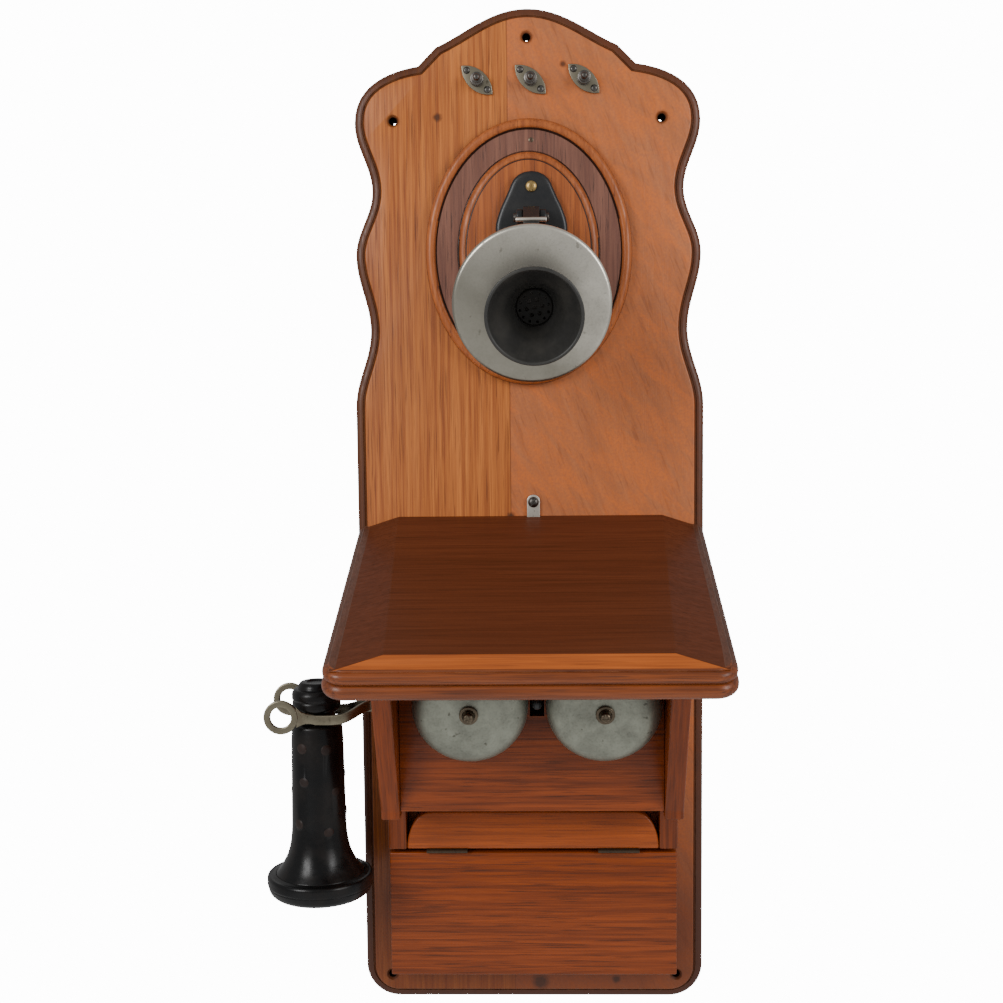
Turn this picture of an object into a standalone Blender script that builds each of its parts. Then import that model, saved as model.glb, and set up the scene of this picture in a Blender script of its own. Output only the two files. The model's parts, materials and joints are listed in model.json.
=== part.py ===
"""Wall crank telephone: a shaped backboard with a swing-down cabinet under a sloping desk lid.

Frame: metres, +Z up, +X to the right, the front faces -Y. The origin is on the wall plane,
in the middle of the backboard's back face. Depths are measured forward from the board's front.
"""
import math

import bmesh
import bpy
from mathutils import Matrix, Vector
from mathutils.geometry import interpolate_bezier

MM = 0.001
GAP = 0.3 * MM
RUN_GAP = 0.15 * MM
BIG = 400 * MM

# Backboard
BOARD_THICK = 19 * MM
BOARD_HALF_WIDTH = 127 * MM
BOARD_TOP = 365.2 * MM
BOARD_BOTTOM = -365.2 * MM
BOARD_CORNER = 25 * MM
BOARD_EDGE_WIDTH = 8 * MM
BOARD_EDGE_DROP = 6 * MM
MOUNT_HOLE_R = 2.6 * MM
TOP_HOLE_DROP = 21 * MM
SHOULDER_HOLE_INSET = 31 * MM
SHOULDER_HOLE_Z = 287 * MM
LOW_HOLE_INSET = 20 * MM
LOW_HOLE_RISE = 19 * MM

# Line terminals
TERMINAL_COUNT = 3
TERMINAL_PITCH = 38 * MM
TERMINAL_MID_X = 2.7 * MM
TERMINAL_Z = 314.5 * MM
TERMINAL_LENGTH = 30 * MM
TERMINAL_WIDTH = 14 * MM
TERMINAL_THICK = 1.5 * MM
TERMINAL_TURN = math.radians(-43)
TERMINAL_SCREW_PITCH = 20 * MM
TERMINAL_SCREW_R = 2.6 * MM
TERMINAL_SCREW_HEIGHT = 1.3 * MM
TERMINAL_POST_R = 4.8 * MM
TERMINAL_POST_NECK_R = 3.3 * MM
TERMINAL_POST_HEIGHT = 13 * MM

# Oval plaque behind the transmitter
PLAQUE_X = 0.6 * MM
PLAQUE_Z = 192.5 * MM
PLAQUE_HALF_WIDTH = 74 * MM
PLAQUE_HALF_HEIGHT = 94.4 * MM
PLAQUE_RIM_WIDTH = 8 * MM
PLAQUE_RIM_THICK = 8 * MM
PLAQUE_RING_THICK = 5 * MM
PLAQUE_RING_WIDTH = 15.5 * MM
PLAQUE_STEP_WIDTH = 6 * MM
PLAQUE_FIELD_THICK = 9 * MM

# Transmitter bracket and its tilting lug
BRACKET_X = 2.7 * MM
BRACKET_TOP = 249 * MM
BRACKET_BOTTOM = 172 * MM
BRACKET_CROWN_R = 13.5 * MM
BRACKET_HALF_WIDTH = 25.6 * MM
BRACKET_FOOT_HALF = 18 * MM
BRACKET_THICK = 6 * MM
BRACKET_SCREW_DROP = 11 * MM
BRACKET_SCREW_R = 4 * MM
TILT_DEPTH = 40 * MM
TILT_Z = 214 * MM
TILT_PIN_R = 3 * MM
EAR_R = 8 * MM
EAR_THICK = 4.5 * MM
LUG_THICK = 11 * MM

# Transmitter
PLATE_X = 3.8 * MM
PLATE_DEPTH = 110 * MM
PLATE_Z = 151.3 * MM
PLATE_R = 52 * MM
PLATE_THICK = 1.6 * MM
PLATE_RIM = 6 * MM
PLATE_DISH = 2.5 * MM
NOD = math.radians(14)
CUP_R = 41 * MM
CUP_LENGTH = 42 * MM
CUP_WALL = 3 * MM
NECK_R = 13 * MM
MOUTH_R = 31.5 * MM
MOUTH_LENGTH = 37 * MM
MOUTH_WALL = 2.2 * MM
THROAT_R = 12.4 * MM
THROAT_HEIGHT = 8 * MM
GRILLE_HOLE_R = 1.4 * MM
GRILLE_THICK = 1.4 * MM
GRILLE_PITCH_R = 5.4 * MM
DIAPHRAGM_R = 35 * MM
BUTTON_R = 14 * MM

# Desk lid
LID_HALF_WIDTH = 127 * MM
LID_DEPTH = 208 * MM
LID_SLOPE = math.radians(17.5)
LID_TOP_Z = -4.5 * MM
LID_THICK = 20 * MM
LID_CORNER_R = 15 * MM
LID_MOULDING = 8.5 * MM
FIELD_RISE = 6.6 * MM
FIELD_BACK_HALF = 97 * MM
FIELD_FRONT_HALF = 88 * MM
FIELD_FRONT_EDGE = 5 * MM
FIELD_FRONT_BEVEL = 7 * MM
CABINET_BACK_GAP = 0.5 * MM

# Cabinet below the lid
CHEEK_OUTER = 106 * MM
CHEEK_THICK = 13.3 * MM
CHEEK_TOP_DEPTH = 137 * MM
CHEEK_FOOT_DEPTH = 67 * MM
CHEEK_FOOT_Z = -199 * MM
CHEEK_TOE = 6 * MM
BLOCK_DEPTH = 23 * MM
CABINET_BOTTOM = -241.2 * MM
FRONT_PANEL_DEPTH = 66 * MM
FRONT_PANEL_THICK = 8 * MM
FLOOR_THICK = 6 * MM
FLOOR_DROP = 1 * MM
RAIL_DEPTH = 22 * MM
RAIL_THICK = 10 * MM
RAIL_HEIGHT = 28 * MM
RAIL_EAR = 18 * MM

# Lower panel and the hinges
LOWER_HALF_WIDTH = 105.7 * MM
LOWER_THICK = 19.7 * MM
LOWER_TOP = -244.6 * MM
LOWER_BOTTOM = -338 * MM
HINGE_SPACING = 126 * MM
HINGE_LENGTH = 30 * MM
HINGE_LEAF = 0.9 * MM
HINGE_LEAF_BACK = 4 * MM
HINGE_KNUCKLE_R = 1.35 * MM
HINGE_PIN_R = 0.6 * MM
HINGE_STAND = 2.3 * MM

# Catch strap
STRAP_X = 2.4 * MM
STRAP_WIDTH = 9.5 * MM
STRAP_TOP = 18 * MM
STRAP_BOTTOM = -16 * MM
STRAP_THICK = 1.5 * MM
CATCH_SCREW_Z = 12.5 * MM
CATCH_HEAD_R = 4 * MM
CATCH_SHANK_R = 1.7 * MM
CATCH_SHANK = 12 * MM
CATCH_HOLE_R = 3.4 * MM

# Gongs and ringer
GONG_R = 40 * MM
GONG_HEIGHT = 21 * MM
GONG_WALL = 2 * MM
GONG_SPACING = 92 * MM
RINGER_X = 4 * MM
GONG_Z = -119 * MM
GONG_RIM_DEPTH = 78 * MM
GONG_NOD = math.radians(8)
GONG_HOLE_R = 3.2 * MM
POST_R = 5 * MM
NUT_R = 6.5 * MM
NUT_HEIGHT = 8 * MM
CLAPPER_SLOT_WIDTH = 10 * MM
CLAPPER_SLOT_HEIGHT = 24 * MM
CLAPPER_BALL_R = 4 * MM
CLAPPER_ROD_R = 1.2 * MM
CLAPPER_PIVOT_DROP = 28 * MM
COIL_R = 11.5 * MM
COIL_PITCH = 30 * MM
COIL_DEPTH = 36 * MM
COIL_BOTTOM = -189 * MM
COIL_LENGTH = 31 * MM
CORE_R = 4 * MM

# Hook switch and receiver
HOOK_Z = -129 * MM
HOOK_DEPTH = 42 * MM
HOOK_PIVOT_X = -72 * MM
HOOK_HEIGHT = 8 * MM
SHANK_THICK = 4 * MM
PRONG_THICK = 3 * MM
PRONG_GAP = 29 * MM
FORK_ROOT_X = -116 * MM
RING_X = -176 * MM
RING_R = 11.7 * MM
RING_HOLE_R = 7.4 * MM
RING_SPREAD = 40 * MM
HOOK_PIN_R = 2 * MM
SPRING_COUNT = 2
SPRING_PITCH = 6 * MM
SPRING_THICK = 0.8 * MM
HOOK_SLOT_RISE = 16 * MM
HOOK_SLOT_SIDE = 1 * MM
RECEIVER_X = -153.6 * MM
RECEIVER_TOP = -110.8 * MM
RECEIVER_BOTTOM = -267 * MM
RECEIVER_FLANGE_R = 17.5 * MM
RECEIVER_NECK_R = 13 * MM
RECEIVER_BARREL_R = 19 * MM
RECEIVER_BELL_R = 31.5 * MM
RECEIVER_CAP_R = 38 * MM
RECEIVER_CAP_HEIGHT = 17 * MM
RECEIVER_WALL = 3.5 * MM

# Magneto and crank
CRANK_DEPTH = 42 * MM
CRANK_Z = -86 * MM
CRANK_THROW = 34 * MM
CRANK_SHAFT_R = 4 * MM
CRANK_ARM_THICK = 4.5 * MM
CRANK_ARM_REST = math.radians(-36)
KNOB_R = 6.5 * MM
KNOB_LENGTH = 22 * MM
KNOB_PIN_R = 2 * MM
BUSH_FLANGE_R = 9 * MM
GEAR_MODULE = 0.8 * MM
GEAR_TEETH = 35
PINION_TEETH = 10
GEAR_WIDTH = 5 * MM
PINION_WIDTH = 6.4 * MM
GEAR_LINE = math.radians(221.4)
MAGNET_COUNT = 2
MAGNET_WIDTH = 16.6 * MM
MAGNET_THICK = 9 * MM
MAGNET_X = 55.2 * MM
MAGNET_SPREAD = 49 * MM
MAGNET_TOP_RISE = 6 * MM
MAGNET_LEG = 48 * MM
ROTOR_R = 12 * MM
ROTOR_SHAFT_R = 2.5 * MM
END_PLATE_THICK = 3.7 * MM

# Induction coil
INDUCTION_X = -60 * MM
INDUCTION_Z = -176 * MM
INDUCTION_DEPTH = 30 * MM
INDUCTION_R = 10 * MM
INDUCTION_LENGTH = 44 * MM
INDUCTION_CHEEK = 26 * MM


def at(x, depth, z):
    """World point from a sideways place, a depth in front of the board's face and a height."""
    return Vector((x, -(BOARD_THICK + depth), z))


def empty_scene():
    for obj in list(bpy.data.objects):
        bpy.data.objects.remove(obj, do_unlink=True)


def new_collection(name):
    group = bpy.data.collections.new(name)
    bpy.context.scene.collection.children.link(group)
    return group


empty_scene()
PARTS = new_collection("wall_crank_telephone")
GUIDES = new_collection("guides")


def finish(name, colour, roughness, metallic=0.0):
    """A plain finish for one kind of surface."""
    material = bpy.data.materials.new(name)
    material.use_nodes = True
    shader = material.node_tree.nodes["Principled BSDF"]
    shader.inputs["Base Color"].default_value = (*colour, 1.0)
    shader.inputs["Roughness"].default_value = roughness
    shader.inputs["Metallic"].default_value = metallic
    return material


FINISHES = {
    "oak": ((0.36, 0.13, 0.035), 0.4, 0.0),
    "mahogany": ((0.16, 0.045, 0.018), 0.35, 0.0),
    "nickel": ((0.38, 0.36, 0.32), 0.45, 1.0),
    "iron": ((0.02, 0.02, 0.02), 0.5, 0.3),
    "rubber": ((0.012, 0.012, 0.012), 0.35, 0.0),
    "brass": ((0.5, 0.33, 0.12), 0.4, 1.0),
    "steel": ((0.3, 0.29, 0.28), 0.5, 1.0),
    "copper": ((0.4, 0.09, 0.04), 0.5, 0.4),
}


# ---------------------------------------------------------------- making tools

def link(obj):
    GUIDES.objects.link(obj)
    return obj


def adopt_active(name):
    """Take the primitive that was just added into the guides collection."""
    obj = bpy.context.object
    obj.name = name
    for group in list(obj.users_collection):
        group.objects.unlink(obj)
    return link(obj)


def tidy_mesh(mesh, turn_out):
    work = bmesh.new()
    work.from_mesh(mesh)
    bmesh.ops.remove_doubles(work, verts=work.verts, dist=0.000001)
    if turn_out:
        bmesh.ops.recalc_face_normals(work, faces=work.faces)
    work.to_mesh(mesh)
    work.free()


def settled(obj, turn_out=True):
    """A plain mesh of the object as its modifiers leave it, in world space."""
    depsgraph = bpy.context.evaluated_depsgraph_get()
    mesh = bpy.data.meshes.new_from_object(obj.evaluated_get(depsgraph))
    mesh.transform(obj.matrix_world)
    name = obj.name
    bpy.data.objects.remove(obj, do_unlink=True)
    tidy_mesh(mesh, turn_out)
    return link(bpy.data.objects.new(name, mesh))


def block(name, low, high):
    """A box between two corners, given as (x, depth, z)."""
    start = at(*low)
    end = at(*high)
    bpy.ops.mesh.primitive_cube_add(size=1.0, location=(start + end) / 2)
    obj = adopt_active(name)
    obj.scale = [abs(end[axis] - start[axis]) for axis in range(3)]
    bpy.context.view_layer.update()
    return settled(obj)


def frame_along(origin, direction):
    """A matrix whose +Z runs along direction, placed at origin."""
    turn = Vector((0, 0, 1)).rotation_difference(Vector(direction).normalized())
    return Matrix.Translation(origin) @ turn.to_matrix().to_4x4()


def rod(name, start, end, radius, sides=24):
    """A round bar between two world points."""
    span = Vector(end) - Vector(start)
    bpy.ops.mesh.primitive_cylinder_add(vertices=sides, radius=radius, depth=span.length)
    obj = adopt_active(name)
    obj.matrix_world = frame_along((Vector(start) + Vector(end)) / 2, span)
    bpy.context.view_layer.update()
    return settled(obj)


def ball(name, centre, radius):
    bpy.ops.mesh.primitive_uv_sphere_add(segments=16, ring_count=10, radius=radius, location=centre)
    return settled(adopt_active(name))


def turned(name, profile, place, sides=40, closed=False):
    """A lathe shape from (radius, height) points; open profiles start and end on the axis."""
    mesh = bpy.data.meshes.new(name)
    edges = [(index, index + 1) for index in range(len(profile) - 1)]
    if closed:
        edges.append((len(profile) - 1, 0))
    mesh.from_pydata([(radius, 0, height) for radius, height in profile], edges, [])
    obj = link(bpy.data.objects.new(name, mesh))
    screw = obj.modifiers.new("lathe", "SCREW")
    screw.axis = "Z"
    screw.steps = sides
    screw.render_steps = sides
    screw.use_merge_vertices = True
    screw.merge_threshold = 0.00002
    obj.matrix_world = place
    bpy.context.view_layer.update()
    return settled(obj)


FRONT = Matrix(((1, 0, 0, 0), (0, 0, -1, 0), (0, 1, 0, 0), (0, 0, 0, 1)))
SIDE = Matrix(((0, 0, -1, 0), (-1, 0, 0, 0), (0, 1, 0, 0), (0, 0, 0, 1)))


def flat_curve(name, outline, thickness):
    curve = bpy.data.curves.new(name, "CURVE")
    curve.dimensions = "2D"
    curve.fill_mode = "BOTH"
    curve.extrude = thickness / 2
    spline = curve.splines.new("POLY")
    spline.points.add(len(outline) - 1)
    for point, (across, up) in zip(spline.points, outline):
        point.co = (across, up, 0, 1)
    spline.use_cyclic_u = True
    return link(bpy.data.objects.new(name, curve))


def front_plate(name, outline, back, front):
    """A plate facing forward: outline in (x, z), between two depths."""
    obj = flat_curve(name, outline, front - back)
    obj.matrix_world = Matrix.Translation(at(0, (back + front) / 2, 0)) @ FRONT
    bpy.context.view_layer.update()
    return settled(obj)


def side_plate(name, outline, left, right):
    """A plate facing sideways: outline in (depth, z), between two x places."""
    obj = flat_curve(name, outline, right - left)
    obj.matrix_world = Matrix.Translation(at((left + right) / 2, 0, 0)) @ SIDE
    bpy.context.view_layer.update()
    return settled(obj)


def ribbon(name, route, height, thickness):
    """A flat bar standing on edge: its route in (x, depth) at the hook's height."""
    curve = bpy.data.curves.new(name, "CURVE")
    curve.dimensions = "3D"
    spline = curve.splines.new("POLY")
    spline.points.add(len(route) - 1)
    for point, (x, depth) in zip(spline.points, route):
        point.co = (*at(x, depth, HOOK_Z), 1)
    curve.extrude = height / 2
    obj = link(bpy.data.objects.new(name, curve))
    bpy.context.view_layer.update()
    sheet = settled(obj)
    wall = sheet.modifiers.new("wall", "SOLIDIFY")
    wall.thickness = thickness
    wall.offset = 0
    bpy.context.view_layer.update()
    return settled(sheet)


def wire(name, route, radius):
    """A round wire through world points."""
    curve = bpy.data.curves.new(name, "CURVE")
    curve.dimensions = "3D"
    spline = curve.splines.new("POLY")
    spline.points.add(len(route) - 1)
    for point, place in zip(spline.points, route):
        point.co = (*place, 1)
    curve.bevel_depth = radius
    curve.bevel_resolution = 2
    curve.use_fill_caps = True
    obj = link(bpy.data.objects.new(name, curve))
    bpy.context.view_layer.update()
    return settled(obj)


def combine(body, tool, operation):
    modifier = body.modifiers.new(operation.lower(), "BOOLEAN")
    modifier.operation = operation
    modifier.solver = "EXACT"
    modifier.object = tool
    tool.hide_render = True
    tool.display_type = "WIRE"
    bpy.context.view_layer.update()
    result = settled(body, turn_out=False)
    bpy.data.objects.remove(tool, do_unlink=True)
    return result


def cut(body, *tools):
    for tool in tools:
        body = combine(body, tool, "DIFFERENCE")
    return body


def drill_set(drills):
    """Several drills that stand clear of each other, as one cutter."""
    work = bmesh.new()
    for drill in drills:
        work.from_mesh(drill.data)
        bpy.data.objects.remove(drill, do_unlink=True)
    mesh = bpy.data.meshes.new("drills")
    work.to_mesh(mesh)
    work.free()
    return link(bpy.data.objects.new("drills", mesh))


def unite(body, *others):
    for other in others:
        body = combine(body, other, "UNION")
    return body


def pivot(name, place, parent=None):
    """An empty on a joint's axis, which its moving pieces follow."""
    empty = link(bpy.data.objects.new(name, None))
    empty.location = place
    bpy.context.view_layer.update()
    if parent:
        empty.parent = parent
        empty.matrix_parent_inverse = parent.matrix_world.inverted()
        bpy.context.view_layer.update()
    return empty


def deliver(obj, name, finish_name, carrier=None):
    """Name a finished piece, give it its own finish and hang it on its carrier."""
    obj.name = name
    obj.data.name = name
    colour, roughness, metallic = FINISHES[finish_name]
    obj.data.materials.clear()
    obj.data.materials.append(finish(name + "_" + finish_name, colour, roughness, metallic))
    obj.data.shade_smooth()
    obj.data.set_sharp_from_angle(angle=math.radians(35))
    GUIDES.objects.unlink(obj)
    PARTS.objects.link(obj)
    if carrier:
        obj.parent = carrier
        obj.matrix_parent_inverse = carrier.matrix_world.inverted()
    return obj


def arc(centre, radius, start, end, steps):
    """Points on an arc, angles in degrees, as (across, up) pairs."""
    points = []
    for index in range(steps + 1):
        angle = math.radians(start + (end - start) * index / steps)
        points.append((centre[0] + radius * math.cos(angle), centre[1] + radius * math.sin(angle)))
    return points


def mirrored(half):
    """A whole outline from its right half, which runs from top to bottom."""
    left = [(-x, z) for x, z in reversed(half) if x > 0.01 * MM]
    return half + left


def sloped(depth, drop=0.0):
    """Height of the lid's top plane, or of a plane that lies a thickness below it, at a depth."""
    return LID_TOP_Z - depth * math.tan(LID_SLOPE) - drop / math.cos(LID_SLOPE)


# ---------------------------------------------------------------- outlines

def board_half_outline():
    """Right half of the fiddle-shaped board: a bump, a shoulder, two lobes, then straight sides."""
    wide = BOARD_HALF_WIDTH
    top = BOARD_TOP
    lobe_1 = (wide - 2.8 * MM, top - 79 * MM)
    waist_1 = (wide - 14.7 * MM, top - 127 * MM)
    lobe_2 = (wide - 2.1 * MM, top - 173 * MM)
    waist_2 = (wide - 11.8 * MM, top - 227 * MM)
    straight = (wide, top - 283 * MM)
    notch = (wide - 49 * MM, top - 39 * MM)
    ear = (wide - 62 * MM, top - 26 * MM)
    spans = [
        ((0, top), (26 * MM, top), (44 * MM, top - 17 * MM), ear),
        (notch, (notch[0] + 20 * MM, notch[1] - 3 * MM), (lobe_1[0], lobe_1[1] + 28 * MM), lobe_1),
    ]
    for upper, lower in ((lobe_1, waist_1), (waist_1, lobe_2), (lobe_2, waist_2), (waist_2, straight)):
        reach = (upper[1] - lower[1]) * 0.364
        spans.append((upper, (upper[0], upper[1] - reach), (lower[0], lower[1] + reach), lower))
    points = []
    for start, start_pull, end_pull, end in spans:
        knots = [Vector((*knot, 0)) for knot in (start, start_pull, end_pull, end)]
        curve = interpolate_bezier(*knots, 9)
        points.extend((point.x, point.y) for point in curve)
    distinct = [points[0]]
    for point in points[1:]:
        if math.dist(point, distinct[-1]) > 0.5 * MM:
            distinct.append(point)
    corner = (wide - BOARD_CORNER, BOARD_BOTTOM + BOARD_CORNER)
    distinct.extend(arc(corner, BOARD_CORNER, 0, -90, 8))
    return distinct


def inset(outline, distance):
    """A clockwise outline moved inwards by a distance, square to its own direction."""
    points = []
    count = len(outline)
    for index, (x, z) in enumerate(outline):
        before = outline[index - 1]
        after = outline[(index + 1) % count]
        run = Vector((after[0] - before[0], after[1] - before[1])).normalized()
        points.append((x + run.y * distance, z - run.x * distance))
    return points


def lozenge(length, width, turn):
    """A pointed oval made of two arcs."""
    reach = length / 2
    radius = (reach ** 2 + (width / 2) ** 2) / width
    half_angle = math.degrees(math.asin(reach / radius))
    upper = arc((0, width / 2 - radius), radius, 90 - half_angle, 90 + half_angle, 8)
    lower = [(-x, -y) for x, y in upper]
    cosine = math.cos(turn)
    sine = math.sin(turn)
    shape = upper[:-1] + lower[:-1]
    return [(x * cosine - y * sine, x * sine + y * cosine) for x, y in shape]


def moved(outline, across, up):
    return [(x + across, y + up) for x, y in outline]


def gear_outline(teeth, phase):
    """Straight-sided gear teeth around a pitch circle, one tooth centred on the phase angle."""
    pitch_r = GEAR_MODULE * teeth / 2
    tip = pitch_r + 0.85 * GEAR_MODULE
    root = pitch_r - 1.15 * GEAR_MODULE
    step = 2 * math.pi / teeth
    points = []
    for tooth in range(teeth):
        middle = phase + tooth * step
        for radius, share in ((root, -0.29), (tip, -0.13), (tip, 0.13), (root, 0.29)):
            angle = middle + share * step
            points.append((radius * math.cos(angle), radius * math.sin(angle)))
    return points


# ---------------------------------------------------------------- backboard and its fittings

def make_backboard():
    """The board's moulded edge steps down all round its front face."""
    outline = mirrored(board_half_outline())
    step = -BOARD_EDGE_DROP
    board = front_plate("backboard", outline, -BOARD_THICK, step)
    raised = front_plate("raised", inset(outline, BOARD_EDGE_WIDTH), step - MM, 0)
    board = unite(board, raised)
    shoulder_x = BOARD_HALF_WIDTH - SHOULDER_HOLE_INSET
    low_x = BOARD_HALF_WIDTH - LOW_HOLE_INSET
    holes = [(0, BOARD_TOP - TOP_HOLE_DROP)]
    for side in (-1, 1):
        holes.append((side * shoulder_x, SHOULDER_HOLE_Z))
        holes.append((side * low_x, BOARD_BOTTOM + LOW_HOLE_RISE))
    drills = []
    for x, z in holes:
        drills.append(rod("drill", at(x, -BOARD_THICK - MM, z), at(x, 2 * MM, z), MOUNT_HOLE_R, 16))
    catch = at(STRAP_X, -CATCH_SHANK - 2 * MM, CATCH_SCREW_Z)
    drills.append(rod("drill", catch, at(STRAP_X, MM, CATCH_SCREW_Z), CATCH_HOLE_R, 20))
    board = cut(board, drill_set(drills))
    deliver(board, "backboard", "oak")


def make_terminals():
    """Each line terminal is a lozenge plate with its two screw heads, and a binding post."""
    for index in range(TERMINAL_COUNT):
        x = TERMINAL_MID_X + (index - (TERMINAL_COUNT - 1) / 2) * TERMINAL_PITCH
        shape = moved(lozenge(TERMINAL_LENGTH, TERMINAL_WIDTH, TERMINAL_TURN), x, TERMINAL_Z)
        face = GAP + TERMINAL_THICK
        plate = front_plate("plate", shape, GAP, face)
        for end in (-1, 1):
            reach = end * TERMINAL_SCREW_PITCH / 2
            screw_x = x + reach * math.cos(TERMINAL_TURN)
            screw_z = TERMINAL_Z + reach * math.sin(TERMINAL_TURN)
            root = at(screw_x, face - TERMINAL_THICK / 2, screw_z)
            tip = at(screw_x, face + TERMINAL_SCREW_HEIGHT, screw_z)
            plate = unite(plate, rod("screw", root, tip, TERMINAL_SCREW_R, 10))
        deliver(plate, f"terminal_plate_{index + 1}", "nickel")
        step = TERMINAL_POST_HEIGHT
        neck = TERMINAL_POST_NECK_R
        profile = [
            (0, step), (0.8 * neck, step), (neck, 0.75 * step),
            (TERMINAL_POST_R, 0.7 * step), (TERMINAL_POST_R, 0.3 * step),
            (neck, 0.26 * step), (neck, 0), (0, 0),
        ]
        place = frame_along(at(x, face + GAP, TERMINAL_Z), (0, -1, 0))
        deliver(turned("post", profile, place, 16), f"terminal_post_{index + 1}", "steel")


def make_plaque():
    """An oval turned like a plate on a circle of unit size, then stretched to the oval."""
    scale = PLAQUE_HALF_WIDTH
    rim_in = (PLAQUE_HALF_WIDTH - PLAQUE_RIM_WIDTH) / scale
    ring_in = rim_in - PLAQUE_RING_WIDTH / scale
    field = ring_in - PLAQUE_STEP_WIDTH / scale
    profile = [
        (0, PLAQUE_FIELD_THICK), (field, PLAQUE_FIELD_THICK), (ring_in - 0.02, PLAQUE_FIELD_THICK + MM),
        (ring_in, PLAQUE_RING_THICK), (rim_in, PLAQUE_RING_THICK), (rim_in + 0.03, PLAQUE_RIM_THICK),
        (0.965, PLAQUE_RIM_THICK), (1, PLAQUE_RIM_THICK - 4 * MM), (1, 0), (0, 0),
    ]
    place = Matrix.Translation(at(PLAQUE_X, GAP, PLAQUE_Z)) @ FRONT
    stretch = Matrix.Diagonal((PLAQUE_HALF_WIDTH, PLAQUE_HALF_HEIGHT, 1, 1))
    plaque = turned("plaque", profile, place @ stretch, 44)
    deliver(plaque, "oval_plaque", "oak")


def field_face():
    """Depth of the plaque's inner field."""
    return GAP + PLAQUE_FIELD_THICK


def make_bracket():
    base = field_face() + GAP
    crown_z = BRACKET_TOP - BRACKET_CROWN_R
    half = arc((0, crown_z), BRACKET_CROWN_R, 90, 15, 5)
    spread = BRACKET_HALF_WIDTH - BRACKET_CROWN_R
    drop = crown_z - TILT_Z
    half += [
        (BRACKET_CROWN_R + 0.28 * spread, TILT_Z + 0.8 * drop),
        (BRACKET_CROWN_R + 0.6 * spread, TILT_Z + 0.45 * drop),
        (BRACKET_CROWN_R + 0.85 * spread, TILT_Z + 0.15 * drop), (BRACKET_HALF_WIDTH, TILT_Z - 0.2 * drop),
        (BRACKET_HALF_WIDTH - MM, TILT_Z - 0.5 * drop), (BRACKET_FOOT_HALF, BRACKET_BOTTOM),
    ]
    plate = front_plate("bracket", moved(mirrored(half), BRACKET_X, 0), base, base + BRACKET_THICK)
    ear_shape = arc((TILT_DEPTH, TILT_Z), EAR_R, -90, 90, 8)
    root = base + BRACKET_THICK / 2
    ear_shape += [(root, TILT_Z + EAR_R), (root, TILT_Z - 2.2 * EAR_R)]
    inner = LUG_THICK / 2 + GAP
    for side in (-1, 1):
        near = BRACKET_X + side * inner
        far = BRACKET_X + side * (inner + EAR_THICK)
        ear = side_plate("ear", ear_shape, min(near, far), max(near, far))
        plate = unite(plate, ear)
    reach = inner + EAR_THICK + 2 * MM
    start = at(BRACKET_X - reach, TILT_DEPTH, TILT_Z)
    end = at(BRACKET_X + reach, TILT_DEPTH, TILT_Z)
    plate = cut(plate, rod("drill", start, end, TILT_PIN_R + RUN_GAP, 20))
    deliver(plate, "transmitter_bracket", "iron")
    deliver(rod("pin", start, end, TILT_PIN_R, 20), "tilt_pin", "nickel")
    screw_z = BRACKET_TOP - BRACKET_SCREW_DROP
    face = base + BRACKET_THICK + GAP
    profile = [(0, 2 * MM), (0.6 * BRACKET_SCREW_R, 1.8 * MM), (BRACKET_SCREW_R, 0.4 * MM),
               (BRACKET_SCREW_R, 0), (0, 0)]
    head = turned("screw", profile, frame_along(at(BRACKET_X, face, screw_z), (0, -1, 0)), 16)
    deliver(head, "bracket_screw", "brass")


def make_lower_panel():
    low = (-LOWER_HALF_WIDTH, GAP, LOWER_BOTTOM)
    high = (LOWER_HALF_WIDTH, GAP + LOWER_THICK, LOWER_TOP)
    deliver(block("lower_panel", low, high), "lower_panel", "oak")


def hinge_axis():
    """Depth and height of the cabinet's hinge line."""
    depth = GAP + LOWER_THICK + HINGE_STAND
    return depth, (LOWER_TOP + CABINET_BOTTOM) / 2


def hinge_leaf(low, leaf_z, spans):
    """A flat leaf with knuckles on the given thirds of its length."""
    depth, z = hinge_axis()
    third = HINGE_LENGTH / 3
    bottom = leaf_z - HINGE_LEAF / 2
    top = leaf_z + HINGE_LEAF / 2
    front = depth - HINGE_KNUCKLE_R - GAP
    leaf = block("leaf", (low, HINGE_LEAF_BACK, bottom), (low + HINGE_LENGTH, front, top))
    for first, last in spans:
        start = low + first * third + (GAP / 2 if first else 0)
        end = low + last * third - (GAP / 2 if last < 3 else 0)
        strip = block("strip", (start, front - MM, bottom), (end, depth, top))
        knuckle = rod("knuckle", at(start, depth, z), at(end, depth, z), HINGE_KNUCKLE_R, 16)
        leaf = unite(leaf, strip, knuckle)
    return leaf


def make_hinges(cabinet):
    """Two butt hinges: pinned outer knuckles on the fixed leaf, a middle one on the moving leaf."""
    depth, z = hinge_axis()
    for side, name in ((-1, "left"), (1, "right")):
        low = side * HINGE_SPACING / 2 - HINGE_LENGTH / 2
        start = at(low, depth, z)
        end = at(low + HINGE_LENGTH, depth, z)
        fixed = hinge_leaf(low, LOWER_TOP + GAP + HINGE_LEAF / 2, ((0, 1), (2, 3)))
        fixed = unite(fixed, rod("pin", start, end, HINGE_PIN_R, 12))
        deliver(fixed, "hinge_fixed_" + name, "brass")
        moving = hinge_leaf(low, CABINET_BOTTOM - GAP - HINGE_LEAF / 2, ((1, 2),))
        moving = cut(moving, rod("bore", start, end, HINGE_PIN_R + RUN_GAP, 16))
        deliver(moving, "hinge_moving_" + name, "brass", cabinet)


# ---------------------------------------------------------------- cabinet

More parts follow.
